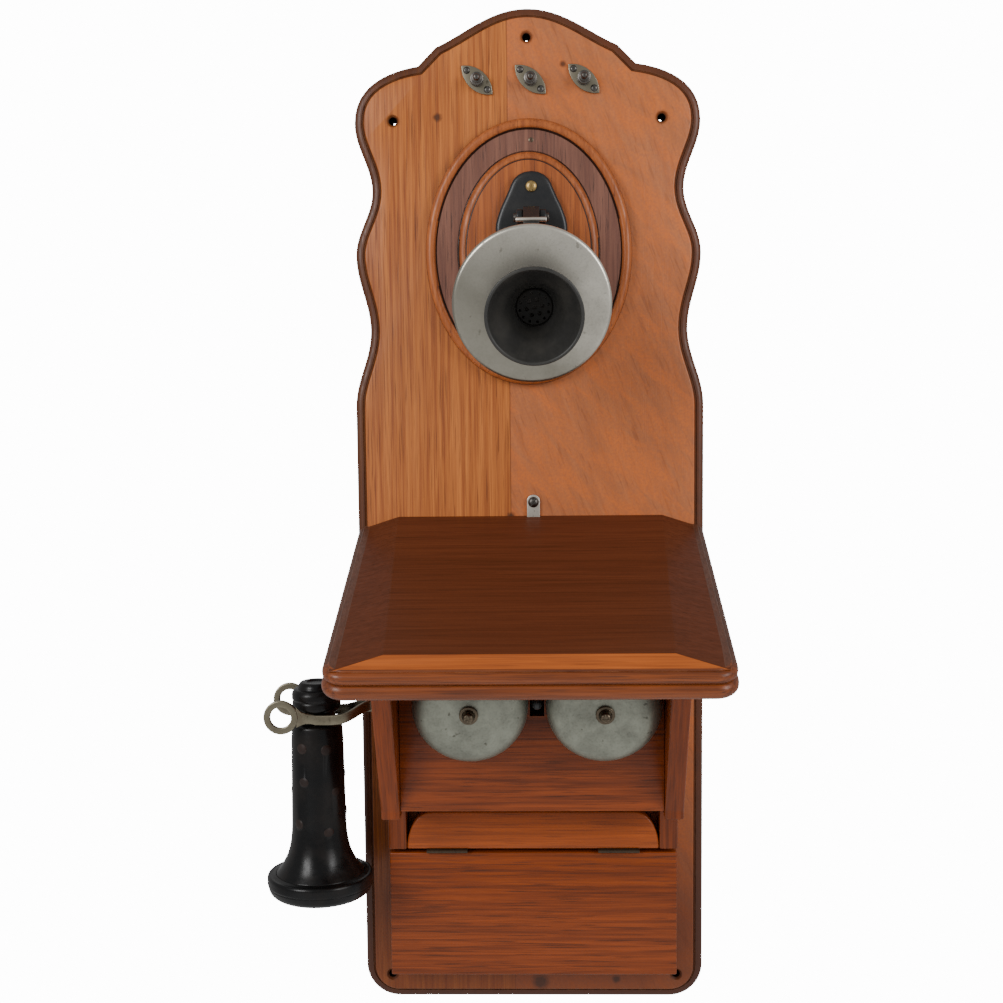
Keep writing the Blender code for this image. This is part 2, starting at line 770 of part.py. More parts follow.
def make_lid(cabinet):
    length = LID_DEPTH / math.cos(LID_SLOPE)
    back = 20 * MM
    corner = (LID_HALF_WIDTH - LID_CORNER_R, -length + LID_CORNER_R)
    outline = [(LID_HALF_WIDTH, back)] + arc(corner, LID_CORNER_R, 0, -90, 6)
    outline += [(-x, y) for x, y in reversed(outline)]
    slab = flat_curve("lid", outline, LID_THICK)
    tilt = Matrix.Translation(at(0, 0, LID_TOP_Z)) @ Matrix.Rotation(LID_SLOPE, 4, "X")
    slab.matrix_world = tilt @ Matrix.Translation((0, 0, -LID_THICK / 2))
    bpy.context.view_layer.update()
    slab = settled(slab)
    root = 2 * MM
    bpy.ops.mesh.primitive_cube_add(size=2.0)
    field = adopt_active("field")
    edge = -length + FIELD_FRONT_EDGE
    for vert in field.data.vertices:
        side = math.copysign(1, vert.co.x)
        at_back = vert.co.y > 0
        top = vert.co.z > 0
        half = FIELD_BACK_HALF if at_back else FIELD_FRONT_HALF
        y = back if at_back else edge + FIELD_FRONT_BEVEL
        if not top:
            half = LID_HALF_WIDTH - LID_MOULDING
            y = back if at_back else edge
        vert.co = (side * half, y, FIELD_RISE if top else -root)
    field.matrix_world = tilt
    bpy.context.view_layer.update()
    lid = unite(slab, settled(field))
    behind = block("behind", (-BIG, -BIG, -BIG), (BIG, CABINET_BACK_GAP, BIG))
    lid = cut(lid, behind)
    half_slot = STRAP_WIDTH / 2 + 2 * GAP
    deep = CABINET_BACK_GAP + STRAP_THICK + 2 * GAP
    slot_low = (STRAP_X - half_slot, -MM, STRAP_BOTTOM - 2 * GAP)
    slot = block("slot", slot_low, (STRAP_X + half_slot, deep, 20 * MM))
    deliver(cut(lid, slot), "desk_lid", "mahogany", cabinet)


def make_cheeks(cabinet):
    under = LID_THICK
    top_back = sloped(CABINET_BACK_GAP, under) - GAP
    top_front = sloped(CHEEK_TOP_DEPTH, under) - GAP
    outline = [
        (CABINET_BACK_GAP, top_back), (CHEEK_TOP_DEPTH, top_front), (CHEEK_FOOT_DEPTH, CHEEK_FOOT_Z),
        (CHEEK_FOOT_DEPTH, CHEEK_FOOT_Z - CHEEK_TOE), (BLOCK_DEPTH, CHEEK_FOOT_Z - CHEEK_TOE),
        (BLOCK_DEPTH, CABINET_BOTTOM), (CABINET_BACK_GAP, CABINET_BOTTOM),
    ]
    inner = CHEEK_OUTER - CHEEK_THICK
    left = side_plate("cheek_left", outline, -CHEEK_OUTER, -inner)
    half = SHANK_THICK / 2 + HOOK_SLOT_SIDE
    low = (-CHEEK_OUTER - MM, HOOK_DEPTH - half, HOOK_Z - HOOK_HEIGHT / 2 - MM)
    high = (-inner + MM, HOOK_DEPTH + half, HOOK_Z - HOOK_HEIGHT / 2 + HOOK_SLOT_RISE)
    deliver(cut(left, block("slot", low, high)), "cheek_left", "oak", cabinet)
    right = side_plate("cheek_right", outline, inner, CHEEK_OUTER)
    bush_r = CRANK_SHAFT_R + 2.5 * MM
    start = at(inner - MM, CRANK_DEPTH, CRANK_Z)
    end = at(CHEEK_OUTER + MM, CRANK_DEPTH, CRANK_Z)
    right = cut(right, rod("drill", start, end, bush_r + GAP, 24))
    deliver(right, "cheek_right", "oak", cabinet)
    place = frame_along(at(inner + MM, CRANK_DEPTH, CRANK_Z), (1, 0, 0))
    length = CHEEK_THICK - MM + GAP
    bore = CRANK_SHAFT_R + RUN_GAP
    profile = [
        (bore, length + 2 * MM), (BUSH_FLANGE_R - MM, length + 2 * MM), (BUSH_FLANGE_R, length + MM),
        (BUSH_FLANGE_R, length), (bush_r, length), (bush_r, 0), (bore, 0),
    ]
    deliver(turned("bush", profile, place, 24, closed=True), "crank_bush", "nickel", cabinet)


def inner_half():
    """Half the clear width between the cheeks, less the gap to each."""
    return CHEEK_OUTER - CHEEK_THICK - GAP


def gong_axis():
    """Unit direction of the gongs' axes, forward and a little down."""
    return Vector((0, -math.cos(GONG_NOD), -math.sin(GONG_NOD)))


def gong_x(side):
    return RINGER_X + side * GONG_SPACING / 2


def make_front_panel(cabinet):
    half = inner_half()
    back = FRONT_PANEL_DEPTH - FRONT_PANEL_THICK
    top = sloped(FRONT_PANEL_DEPTH, LID_THICK) - GAP
    panel = block("gong_panel", (-half, back, CHEEK_FOOT_Z), (half, FRONT_PANEL_DEPTH, top))
    slot_low = (RINGER_X - CLAPPER_SLOT_WIDTH / 2, back - MM, GONG_Z - CLAPPER_SLOT_HEIGHT / 2)
    slot_high = (RINGER_X + CLAPPER_SLOT_WIDTH / 2, FRONT_PANEL_DEPTH + MM,
                 GONG_Z + CLAPPER_SLOT_HEIGHT / 2)
    panel = cut(panel, block("slot", slot_low, slot_high))
    deliver(panel, "gong_panel", "oak", cabinet)
    top = CHEEK_FOOT_Z - FLOOR_DROP + FLOOR_THICK
    floor_low = (-half, CABINET_BACK_GAP, CHEEK_FOOT_Z - FLOOR_DROP)
    deliver(block("floor", floor_low, (half, back - GAP, top)), "cabinet_floor", "oak", cabinet)
    rail_top = CABINET_BOTTOM + RAIL_HEIGHT
    ear = [(half - RAIL_EAR + RAIL_EAR * math.sin(math.radians(step * 15)),
            CABINET_BOTTOM + RAIL_HEIGHT * math.cos(math.radians(step * 15))) for step in range(7)]
    outline = mirrored([(0, rail_top)] + ear + [(0, CABINET_BOTTOM)])
    rail = front_plate("rail", outline, RAIL_DEPTH - RAIL_THICK, RAIL_DEPTH)
    deliver(rail, "bottom_rail", "oak", cabinet)


def make_catch(cabinet):
    half = STRAP_WIDTH / 2
    top = arc((STRAP_X, STRAP_TOP - half), half, 0, 180, 10)
    outline = top + [(STRAP_X - half, STRAP_BOTTOM), (STRAP_X + half, STRAP_BOTTOM)]
    back = CABINET_BACK_GAP
    front = back + STRAP_THICK
    strap = front_plate("strap", outline, back, front)
    hole = rod("drill", at(STRAP_X, back - MM, CATCH_SCREW_Z), at(STRAP_X, front + MM, CATCH_SCREW_Z),
               CATCH_SHANK_R + GAP, 16)
    deliver(cut(strap, hole), "catch_strap", "nickel", cabinet)
    shank = CATCH_SHANK + front + GAP
    head = 2.6 * MM
    profile = [
        (0, head), (0.55 * CATCH_HEAD_R, 0.9 * head), (0.9 * CATCH_HEAD_R, 0.5 * head),
        (CATCH_HEAD_R, 0), (CATCH_SHANK_R, 0), (CATCH_SHANK_R, -shank + 2 * MM), (0, -shank),
    ]
    place = frame_along(at(STRAP_X, front + GAP, CATCH_SCREW_Z), (0, -1, 0))
    deliver(turned("screw", profile, place, 16), "catch_screw", "steel", cabinet)


def make_gongs(cabinet):
    axis = gong_axis()
    inner = GONG_R - GONG_WALL
    drop = GONG_HEIGHT
    wall = GONG_WALL
    profile = [
        (GONG_HOLE_R, drop), (9 * MM, drop), (0.5 * GONG_R, 0.92 * drop), (0.75 * GONG_R, 0.68 * drop),
        (0.93 * GONG_R, 0.3 * drop), (GONG_R, 0), (inner, 0), (0.93 * inner, 0.3 * drop - wall / 2),
        (0.75 * inner, 0.68 * drop - wall), (0.5 * inner, 0.92 * drop - wall), (9 * MM, drop - wall),
        (GONG_HOLE_R, drop - wall),
    ]
    for side, name in ((-1, "left"), (1, "right")):
        rim = at(gong_x(side), GONG_RIM_DEPTH, GONG_Z)
        gong = turned("gong", profile, frame_along(rim, axis), 32, closed=True)
        deliver(gong, "gong_" + name, "nickel", cabinet)
        lift = (GONG_RIM_DEPTH - FRONT_PANEL_DEPTH - GAP) / math.cos(GONG_NOD)
        lift -= POST_R * math.tan(GONG_NOD)
        shoulder = drop - wall - GAP
        stud = GONG_HOLE_R - GAP
        post = [(0, drop - GAP), (stud, drop - GAP), (stud, shoulder), (POST_R, shoulder),
                (POST_R, -lift), (0, -lift)]
        deliver(turned("post", post, frame_along(rim, axis), 20), "gong_post_" + name, "brass", cabinet)
        base = drop + GAP
        nut = [(0, base + NUT_HEIGHT), (0.6 * NUT_R, base + NUT_HEIGHT),
               (0.75 * NUT_R, base + 0.6 * NUT_HEIGHT), (NUT_R, base + 0.5 * NUT_HEIGHT),
               (NUT_R, base), (0, base)]
        deliver(turned("nut", nut, frame_along(rim, axis), 20), "gong_nut_" + name, "brass", cabinet)


def clapper_pivot():
    return at(RINGER_X, COIL_DEPTH, GONG_Z - CLAPPER_PIVOT_DROP)


def make_ringer(cabinet, clapper):
    panel_back = FRONT_PANEL_DEPTH - FRONT_PANEL_THICK - GAP
    plate_back = panel_back - 3.7 * MM
    pivot_z = GONG_Z - CLAPPER_PIVOT_DROP
    half = COIL_PITCH / 2 + COIL_R - 2 * MM
    bottom = COIL_BOTTOM - 4.3 * MM
    frame = block("frame", (RINGER_X - half, plate_back, bottom),
                  (RINGER_X + half, panel_back, pivot_z + 5 * MM))
    pin_start = at(RINGER_X, COIL_DEPTH - 9 * MM, pivot_z)
    pin = rod("pin", pin_start, at(RINGER_X, plate_back + MM, pivot_z), 1.6 * MM, 16)
    yoke = block("yoke", (RINGER_X - half, COIL_DEPTH - 8 * MM, bottom),
                 (RINGER_X + half, plate_back + MM, COIL_BOTTOM - GAP))
    frame = unite(frame, pin, yoke)
    flange = 1.5 * MM
    bore = CORE_R + GAP
    top = COIL_LENGTH
    wound = COIL_R - flange
    profile = [(bore, top), (COIL_R, top), (COIL_R, top - flange), (wound, top - flange),
               (wound, flange), (COIL_R, flange), (COIL_R, 0), (bore, 0)]
    for side, name in ((-1, "left"), (1, "right")):
        foot = at(RINGER_X + side * COIL_PITCH / 2, COIL_DEPTH, COIL_BOTTOM)
        coil = turned("coil", profile, frame_along(foot, (0, 0, 1)), 20, closed=True)
        deliver(coil, "ringer_coil_" + name, "copper", cabinet)
        tip = foot + Vector((0, 0, COIL_LENGTH + 1.5 * MM))
        frame = unite(frame, rod("core", foot - Vector((0, 0, 2 * MM)), tip, CORE_R, 16))
    deliver(frame, "ringer_frame", "steel", cabinet)
    bar_half = COIL_PITCH / 2 + 3 * MM
    bar_z = pivot_z - 5.5 * MM
    bar = block("bar", (RINGER_X - bar_half, COIL_DEPTH - 5 * MM, bar_z - 1.5 * MM),
                (RINGER_X + bar_half, COIL_DEPTH + 5 * MM, bar_z + 1.5 * MM))
    hub = rod("hub", at(RINGER_X, COIL_DEPTH - 6 * MM, pivot_z), at(RINGER_X, COIL_DEPTH + 8 * MM, pivot_z),
              4.2 * MM, 20)
    bore = rod("bore", at(RINGER_X, COIL_DEPTH - 12 * MM, pivot_z), at(RINGER_X, plate_back, pivot_z),
               1.6 * MM + RUN_GAP, 16)
    armature = cut(unite(bar, hub), bore)
    ball_depth = GONG_RIM_DEPTH + CLAPPER_BALL_R / 2
    rod_depth = COIL_DEPTH + 4 * MM
    route = [
        at(RINGER_X, rod_depth, pivot_z + 3.2 * MM), at(RINGER_X, rod_depth, GONG_Z - 6 * MM),
        at(RINGER_X, rod_depth + 3 * MM, GONG_Z - 1.5 * MM), at(RINGER_X, rod_depth + 8 * MM, GONG_Z),
        at(RINGER_X, ball_depth, GONG_Z),
    ]
    stem = wire("stem", route, CLAPPER_ROD_R)
    striker = ball("striker", at(RINGER_X, ball_depth, GONG_Z), CLAPPER_BALL_R)
    deliver(unite(armature, stem, striker), "ringer_armature_and_clapper", "steel", clapper)


# ---------------------------------------------------------------- hook and receiver

def make_hook(cabinet, lever):
    prong_mid = (PRONG_GAP + PRONG_THICK) / 2
    ring_mid = RING_SPREAD / 2
    root = FORK_ROOT_X
    hook = block("lever", (root - 3 * MM, HOOK_DEPTH - SHANK_THICK / 2, HOOK_Z - HOOK_HEIGHT / 2),
                 (HOOK_PIVOT_X + 15 * MM, HOOK_DEPTH + SHANK_THICK / 2, HOOK_Z + HOOK_HEIGHT / 2))
    for side in (-1, 1):
        swell = prong_mid + 1.5 * MM
        ring_side = RING_X + RING_R - MM
        route = [
            (root, 0), (root - 4 * MM, 0.35 * prong_mid), (root - 9 * MM, 0.8 * prong_mid),
            (root - 16 * MM, prong_mid), (RECEIVER_X + 10 * MM, prong_mid), (RECEIVER_X, prong_mid),
            (RECEIVER_X - 6 * MM, swell), (ring_side, ring_mid),
        ]
        route = [(x, HOOK_DEPTH + side * spread) for x, spread in route]
        prong = ribbon("prong", route, HOOK_HEIGHT - 0.6 * MM, PRONG_THICK)
        half = PRONG_THICK / 2
        ring_profile = [(RING_HOLE_R, half), (RING_R, half), (RING_R, -half), (RING_HOLE_R, -half)]
        place = frame_along(at(RING_X, HOOK_DEPTH + side * ring_mid, HOOK_Z), (0, -1, 0))
        hook = unite(hook, prong, turned("ring", ring_profile, place, 28, closed=True))
    start = at(HOOK_PIVOT_X, HOOK_DEPTH - 8 * MM, HOOK_Z)
    end = at(HOOK_PIVOT_X, FRONT_PANEL_DEPTH - FRONT_PANEL_THICK - 3 * MM, HOOK_Z)
    hook = cut(hook, rod("bore", start, end, HOOK_PIN_R + RUN_GAP, 16))
    deliver(hook, "hook_lever", "nickel", lever)
    back = FRONT_PANEL_DEPTH - FRONT_PANEL_THICK - GAP
    plate = block("plate", (HOOK_PIVOT_X - 10 * MM, back - 3.7 * MM, HOOK_Z - 20 * MM),
                  (HOOK_PIVOT_X + 10 * MM, back, HOOK_Z + 14 * MM))
    deliver(unite(plate, rod("pin", start, end, HOOK_PIN_R, 16)), "hook_bracket", "steel", cabinet)
    tail = HOOK_PIVOT_X + 15 * MM
    stack_low = (tail + 2 * MM, HOOK_DEPTH - 6 * MM, HOOK_Z - 32 * MM)
    stack = block("stack", stack_low, (tail + 16 * MM, back, HOOK_Z - 22 * MM))
    deliver(stack, "switch_block", "rubber", cabinet)
    for index in range(SPRING_COUNT):
        x = tail + 3 * MM + index * SPRING_PITCH
        low = (x, HOOK_DEPTH - 4 * MM, HOOK_Z - 22 * MM + GAP)
        spring = block("spring", low, (x + SPRING_THICK, HOOK_DEPTH + 4 * MM, HOOK_Z + 10 * MM))
        deliver(spring, f"switch_spring_{index + 1}", "brass", cabinet)


def make_receiver(receiver):
    """Hollow hard-rubber shell hanging by its flange, with a screwed ear cap below."""
    place = Matrix.Translation(at(RECEIVER_X, HOOK_DEPTH, 0))
    rest = HOOK_Z + HOOK_HEIGHT / 2 + GAP
    neck_low = HOOK_Z - HOOK_HEIGHT / 2 - 3 * MM
    bottom = RECEIVER_BOTTOM
    cap_top = bottom + RECEIVER_CAP_HEIGHT
    mouth = cap_top - 8 * MM
    wall = RECEIVER_WALL
    bell = RECEIVER_BELL_R
    barrel = RECEIVER_BARREL_R
    profile = [
        (0, RECEIVER_TOP), (11 * MM, RECEIVER_TOP), (13 * MM, RECEIVER_TOP - 2 * MM),
        (13.5 * MM, RECEIVER_TOP - 5 * MM), (RECEIVER_FLANGE_R - MM, RECEIVER_TOP - 6 * MM),
        (RECEIVER_FLANGE_R, RECEIVER_TOP - 7.5 * MM),
        (RECEIVER_FLANGE_R, rest), (RECEIVER_NECK_R, rest), (RECEIVER_NECK_R, neck_low + 2 * MM),
        (barrel - MM, neck_low), (barrel - 0.4 * MM, neck_low - 12 * MM), (barrel, neck_low - 40 * MM),
        (barrel + 0.8 * MM, cap_top + 26 * MM), (barrel + 3.5 * MM, cap_top + 14 * MM),
        (barrel + 8 * MM, cap_top + 5 * MM), (bell, cap_top), (bell, mouth), (bell - wall, mouth),
        (bell - wall, cap_top - 3 * MM), (barrel + 2 * MM, cap_top + 5 * MM),
        (barrel - wall, cap_top + 22 * MM), (barrel - wall, neck_low - 8 * MM), (0, neck_low - 8 * MM),
    ]
    deliver(turned("shell", profile, place, 28), "receiver_shell", "rubber", receiver)
    inner = bell + GAP
    cap = [
        (inner, cap_top), (RECEIVER_CAP_R - 3 * MM, cap_top), (RECEIVER_CAP_R, cap_top - 3 * MM),
        (RECEIVER_CAP_R, cap_top - 6 * MM), (RECEIVER_CAP_R - MM, cap_top - 7.5 * MM),
        (RECEIVER_CAP_R - 2.5 * MM, bottom + 3 * MM), (RECEIVER_CAP_R - 7 * MM, bottom),
        (24 * MM, bottom), (6.5 * MM, bottom + 3 * MM), (6.5 * MM, bottom + 5 * MM),
        (inner - 5 * MM, bottom + 6.5 * MM), (inner, bottom + 7 * MM),
    ]
    deliver(turned("cap", cap, place, 28, closed=True), "receiver_cap", "rubber", receiver)
    disc_z = mouth - GAP - 0.5 * MM
    disc = rod("disc", at(RECEIVER_X, HOOK_DEPTH, disc_z), at(RECEIVER_X, HOOK_DEPTH, disc_z + 0.5 * MM),
               bell - MM, 28)
    deliver(disc, "receiver_diaphragm", "steel", receiver)
    low = (RECEIVER_X - 8 * MM, HOOK_DEPTH - 6 * MM, mouth + 4 * MM)
    high = (RECEIVER_X + 8 * MM, HOOK_DEPTH + 6 * MM, neck_low - 8 * MM - GAP)
    deliver(block("magnet", low, high), "receiver_magnet", "steel", receiver)


# ---------------------------------------------------------------- magneto and crank

def rotor_place():
    """Depth and height of the generator's armature axis, in mesh with the crank gear."""
    centres = GEAR_MODULE * (GEAR_TEETH + PINION_TEETH) / 2
    return CRANK_DEPTH + centres * math.cos(GEAR_LINE), CRANK_Z + centres * math.sin(GEAR_LINE)


def magnet_end(side):
    return MAGNET_X + side * (MAGNET_COUNT * (MAGNET_WIDTH + GAP) - GAP) / 2


def make_magneto(cabinet, rotor):
    depth, z = rotor_place()
    outer = MAGNET_SPREAD / 2
    inner = outer - MAGNET_THICK
    top = z + MAGNET_TOP_RISE
    bend = z - MAGNET_LEG + outer / 2
    outline = [(depth + outer, top)] + arc((depth, bend), outer, 0, -180, 12) + [(depth - outer, top)]
    outline += [(depth - inner, top)] + arc((depth, bend), inner, -180, 0, 10) + [(depth + inner, top)]
    for index in range(MAGNET_COUNT):
        left = magnet_end(-1) + index * (MAGNET_WIDTH + GAP)
        magnet = side_plate("magnet", outline, left, left + MAGNET_WIDTH)
        deliver(magnet, f"magneto_magnet_{index + 1}", "iron", cabinet)
    left = magnet_end(-1)
    right = magnet_end(1)
    clear = ROTOR_R + GAP
    panel_back = FRONT_PANEL_DEPTH - FRONT_PANEL_THICK - GAP
    for side, name in ((-1, "left"), (1, "right")):
        near = magnet_end(side) + side * GAP
        far = near + side * END_PLATE_THICK
        low = (min(near, far), depth - outer, z - 12 * MM)
        plate = block("plate", low, (max(near, far), panel_back, CRANK_Z + 11 * MM))
        if side < 0:
            for step in (-1, 1):
                beside = depth + step * 6 * MM
                beyond = depth + step * (inner - GAP)
                pole = block("pole", (near - MM, min(beside, beyond), z - 9 * MM),
                             (right, max(beside, beyond), top))
                plate = unite(plate, pole)
            plate = cut(plate, rod("bore", at(left, depth, z), at(right + MM, depth, z), clear, 32))
        start = at(near - 9 * MM, depth, z)
        plate = cut(plate, rod("bore", start, at(near + 9 * MM, depth, z), ROTOR_SHAFT_R + RUN_GAP, 20))
        if side > 0:
            start = at(near - 9 * MM, CRANK_DEPTH, CRANK_Z)
            end = at(near + 9 * MM, CRANK_DEPTH, CRANK_Z)
            plate = cut(plate, rod("bore", start, end, CRANK_SHAFT_R + RUN_GAP, 24))
        deliver(plate, "magneto_frame_" + name, "brass", cabinet)
    core = rod("core", at(left + GAP, depth, z), at(right - GAP, depth, z), ROTOR_R, 32)
    for side in (-1, 1):
        low = (left - MM, depth - 5 * MM, z + side * ROTOR_R - 5 * MM)
        high = (right + MM, depth + 5 * MM, z + side * ROTOR_R + 5 * MM)
        core = cut(core, block("slot", low, high))
    shaft_end = right + GAP + END_PLATE_THICK + PINION_WIDTH + 2.5 * MM
    shaft_start = left - END_PLATE_THICK - 2 * MM
    shaft = rod("shaft", at(shaft_start, depth, z), at(shaft_end, depth, z), ROTOR_SHAFT_R, 20)
    start = right + GAP + END_PLATE_THICK + 0.8 * MM
    half_tooth = math.pi / PINION_TEETH
    shape = gear_outline(PINION_TEETH, GEAR_LINE + math.pi + half_tooth)
    pinion = side_plate("pinion", moved(shape, depth, z), start, start + PINION_WIDTH)
    deliver(unite(core, shaft, pinion), "magneto_armature", "steel", rotor)


def make_crank(crank, knob_carrier):
    start = magnet_end(1) + GAP + END_PLATE_THICK + 1.2 * MM
    shape = moved(gear_outline(GEAR_TEETH, GEAR_LINE), CRANK_DEPTH, CRANK_Z)
    gear = side_plate("gear", shape, start, start + GEAR_WIDTH)
    axis_in = at(start - 3 * MM, CRANK_DEPTH, CRANK_Z)
    bore_end = at(start + GEAR_WIDTH + MM, CRANK_DEPTH, CRANK_Z)
    deliver(cut(gear, rod("bore", axis_in, bore_end, CRANK_SHAFT_R + GAP, 24)), "crank_gear", "brass", crank)
    arm_in = CHEEK_OUTER + 5 * MM
    arm_out = arm_in + CRANK_ARM_THICK
    shaft_start = at(magnet_end(1) + GAP, CRANK_DEPTH, CRANK_Z)
    shaft = rod("shaft", shaft_start, at(arm_out - MM, CRANK_DEPTH, CRANK_Z), CRANK_SHAFT_R, 24)
    deliver(shaft, "crank_shaft", "steel", crank)
    direction = Vector((math.cos(CRANK_ARM_REST), math.sin(CRANK_ARM_REST)))
    side_dir = Vector((-direction.y, direction.x))
    centre = Vector((CRANK_DEPTH, CRANK_Z))
    end = centre + direction * CRANK_THROW
    turn = math.degrees(CRANK_ARM_REST)
    outline = arc(centre, 7.5 * MM, turn + 100, turn + 260, 10) + arc(end, 5 * MM, turn - 95, turn + 95, 8)
    arm = side_plate("arm", outline, arm_in, arm_out)
    hub = rod("hub", at(arm_in - 1.5 * MM, *centre), at(arm_out + 1.5 * MM, *centre), 7.4 * MM, 24)
    arm = unite(arm, hub)
    arm = cut(arm, rod("bore", at(arm_in - 5 * MM, *centre), at(arm_out - MM + GAP, *centre),
                       CRANK_SHAFT_R + GAP, 24))
    pin_end = arm_out + KNOB_LENGTH - 2 * MM
    stub = rod("stub", at(arm_out - 2 * MM, *end), at(pin_end, *end), KNOB_PIN_R, 16)
    deliver(unite(arm, stub), "crank_arm", "nickel", crank)
    base = arm_out + GAP
    bore = KNOB_PIN_R + RUN_GAP
    depth_in = KNOB_LENGTH - 1.5 * MM
    profile = [
        (0, KNOB_LENGTH), (0.5 * KNOB_R, KNOB_LENGTH - 0.3 * MM), (0.9 * KNOB_R, KNOB_LENGTH - 2.5 * MM),
        (KNOB_R, 0.7 * KNOB_LENGTH), (0.85 * KNOB_R, 0.4 * KNOB_LENGTH), (0.62 * KNOB_R, 0.14 * KNOB_LENGTH),
        (0.75 * KNOB_R, 0), (bore, 0), (bore, depth_in), (0, depth_in),
    ]
    place = frame_along(at(base, *end), (1, 0, 0))
    deliver(turned("knob", profile, place, 24), "crank_knob", "rubber", knob_carrier)


def make_induction_coil(cabinet):
    """A wound bobbin between two square wooden cheeks that stand on the cabinet's floor."""
    half = INDUCTION_LENGTH / 2
    reach = INDUCTION_CHEEK / 2
    floor_top = CHEEK_FOOT_Z - FLOOR_DROP + FLOOR_THICK
    start = at(INDUCTION_X - half, INDUCTION_DEPTH, INDUCTION_Z)
    coil = rod("coil", start, at(INDUCTION_X + half, INDUCTION_DEPTH, INDUCTION_Z), INDUCTION_R, 24)
    for side in (-1, 1):
        near = INDUCTION_X + side * (half - MM)
        far = INDUCTION_X + side * (half + 4 * MM)
        low = (min(near, far), INDUCTION_DEPTH - reach, floor_top + GAP)
        high = (max(near, far), INDUCTION_DEPTH + reach, INDUCTION_Z + reach)
        coil = unite(coil, block("cheek", low, high))
    deliver(coil, "induction_coil", "copper", cabinet)


# ---------------------------------------------------------------- transmitter

def make_transmitter(tilt):
    axis = Vector((0, -math.cos(NOD), -math.sin(NOD)))
    place = frame_along(at(PLATE_X, PLATE_DEPTH, PLATE_Z), axis)
    hole = NECK_R + GAP
    lip = PLATE_R - 2 * MM
    plate = [
        (hole, 0), (0.55 * PLATE_R, 0), (0.9 * PLATE_R, PLATE_DISH), (lip, PLATE_DISH),
        (PLATE_R, PLATE_DISH - 2 * MM), (PLATE_R, PLATE_DISH - PLATE_RIM),
        (PLATE_R - PLATE_THICK, PLATE_DISH - PLATE_RIM),
        (PLATE_R - PLATE_THICK, PLATE_DISH - PLATE_THICK - MM), (0.9 * PLATE_R, PLATE_DISH - PLATE_THICK),
        (0.55 * PLATE_R, -PLATE_THICK), (hole, -PLATE_THICK),
    ]
    deliver(turned("plate", plate, place, 36, closed=True), "faceplate", "nickel", tilt)
    flange = -PLATE_THICK - GAP
    back = -CUP_LENGTH
    cup = [
        (0, back + CUP_WALL), (12 * MM - CUP_WALL, back + CUP_WALL),
        (CUP_R - 14 * MM - CUP_WALL, 0.96 * back + CUP_WALL),
        (CUP_R - 3 * MM - CUP_WALL, 0.75 * back + 2 * MM),
        (CUP_R - CUP_WALL, 0.45 * back), (CUP_R - CUP_WALL, flange), (CUP_R, flange), (CUP_R, 0.45 * back),
        (CUP_R - 3 * MM, 0.75 * back), (CUP_R - 14 * MM, 0.96 * back), (12 * MM, back), (0, back),
    ]
    housing = turned("cup", cup, place, 28)
    pin = Vector((TILT_DEPTH, TILT_Z))
    cup_top = Vector((PLATE_DEPTH - 26 * MM, PLATE_Z + 36 * MM))
    run = (cup_top - pin).normalized()
    turn = math.degrees(math.atan2(run.y, run.x))
    shape = arc(pin, EAR_R - 0.5 * MM, turn + 90, turn + 270, 8)
    side_step = Vector((-run.y, run.x)) * 9 * MM
    shape += [tuple(cup_top - side_step), tuple(cup_top + side_step)]
    lug = side_plate("lug", shape, BRACKET_X - LUG_THICK / 2, BRACKET_X + LUG_THICK / 2)
    hollow = [(0, flange + MM), (CUP_R - CUP_WALL / 2, flange + MM), (CUP_R - CUP_WALL / 2, 0.45 * back),
              (CUP_R - 3 * MM - CUP_WALL / 2, 0.75 * back), (20 * MM, 0.9 * back), (0, 0.9 * back)]
    lug = cut(lug, turned("hollow", hollow, place, 28))
    housing = unite(housing, lug)
    reach = LUG_THICK
    bore = rod("bore", at(BRACKET_X - reach, TILT_DEPTH, TILT_Z), at(BRACKET_X + reach, TILT_DEPTH, TILT_Z),
               TILT_PIN_R + RUN_GAP, 20)
    deliver(cut(housing, bore), "transmitter_cup", "iron", tilt)
    disc = rod("disc", place @ Vector((0, 0, flange - 3 * MM)), place @ Vector((0, 0, flange - 2.4 * MM)),
               DIAPHRAGM_R, 32)
    deliver(disc, "transmitter_diaphragm", "steel", tilt)
    button = rod("button", place @ Vector((0, 0, back + 10 * MM)), place @ Vector((0, 0, flange - 4 * MM)),
                 BUTTON_R, 24)
    deliver(button, "carbon_button", "brass", tilt)
    make_mouthpiece(tilt, place)


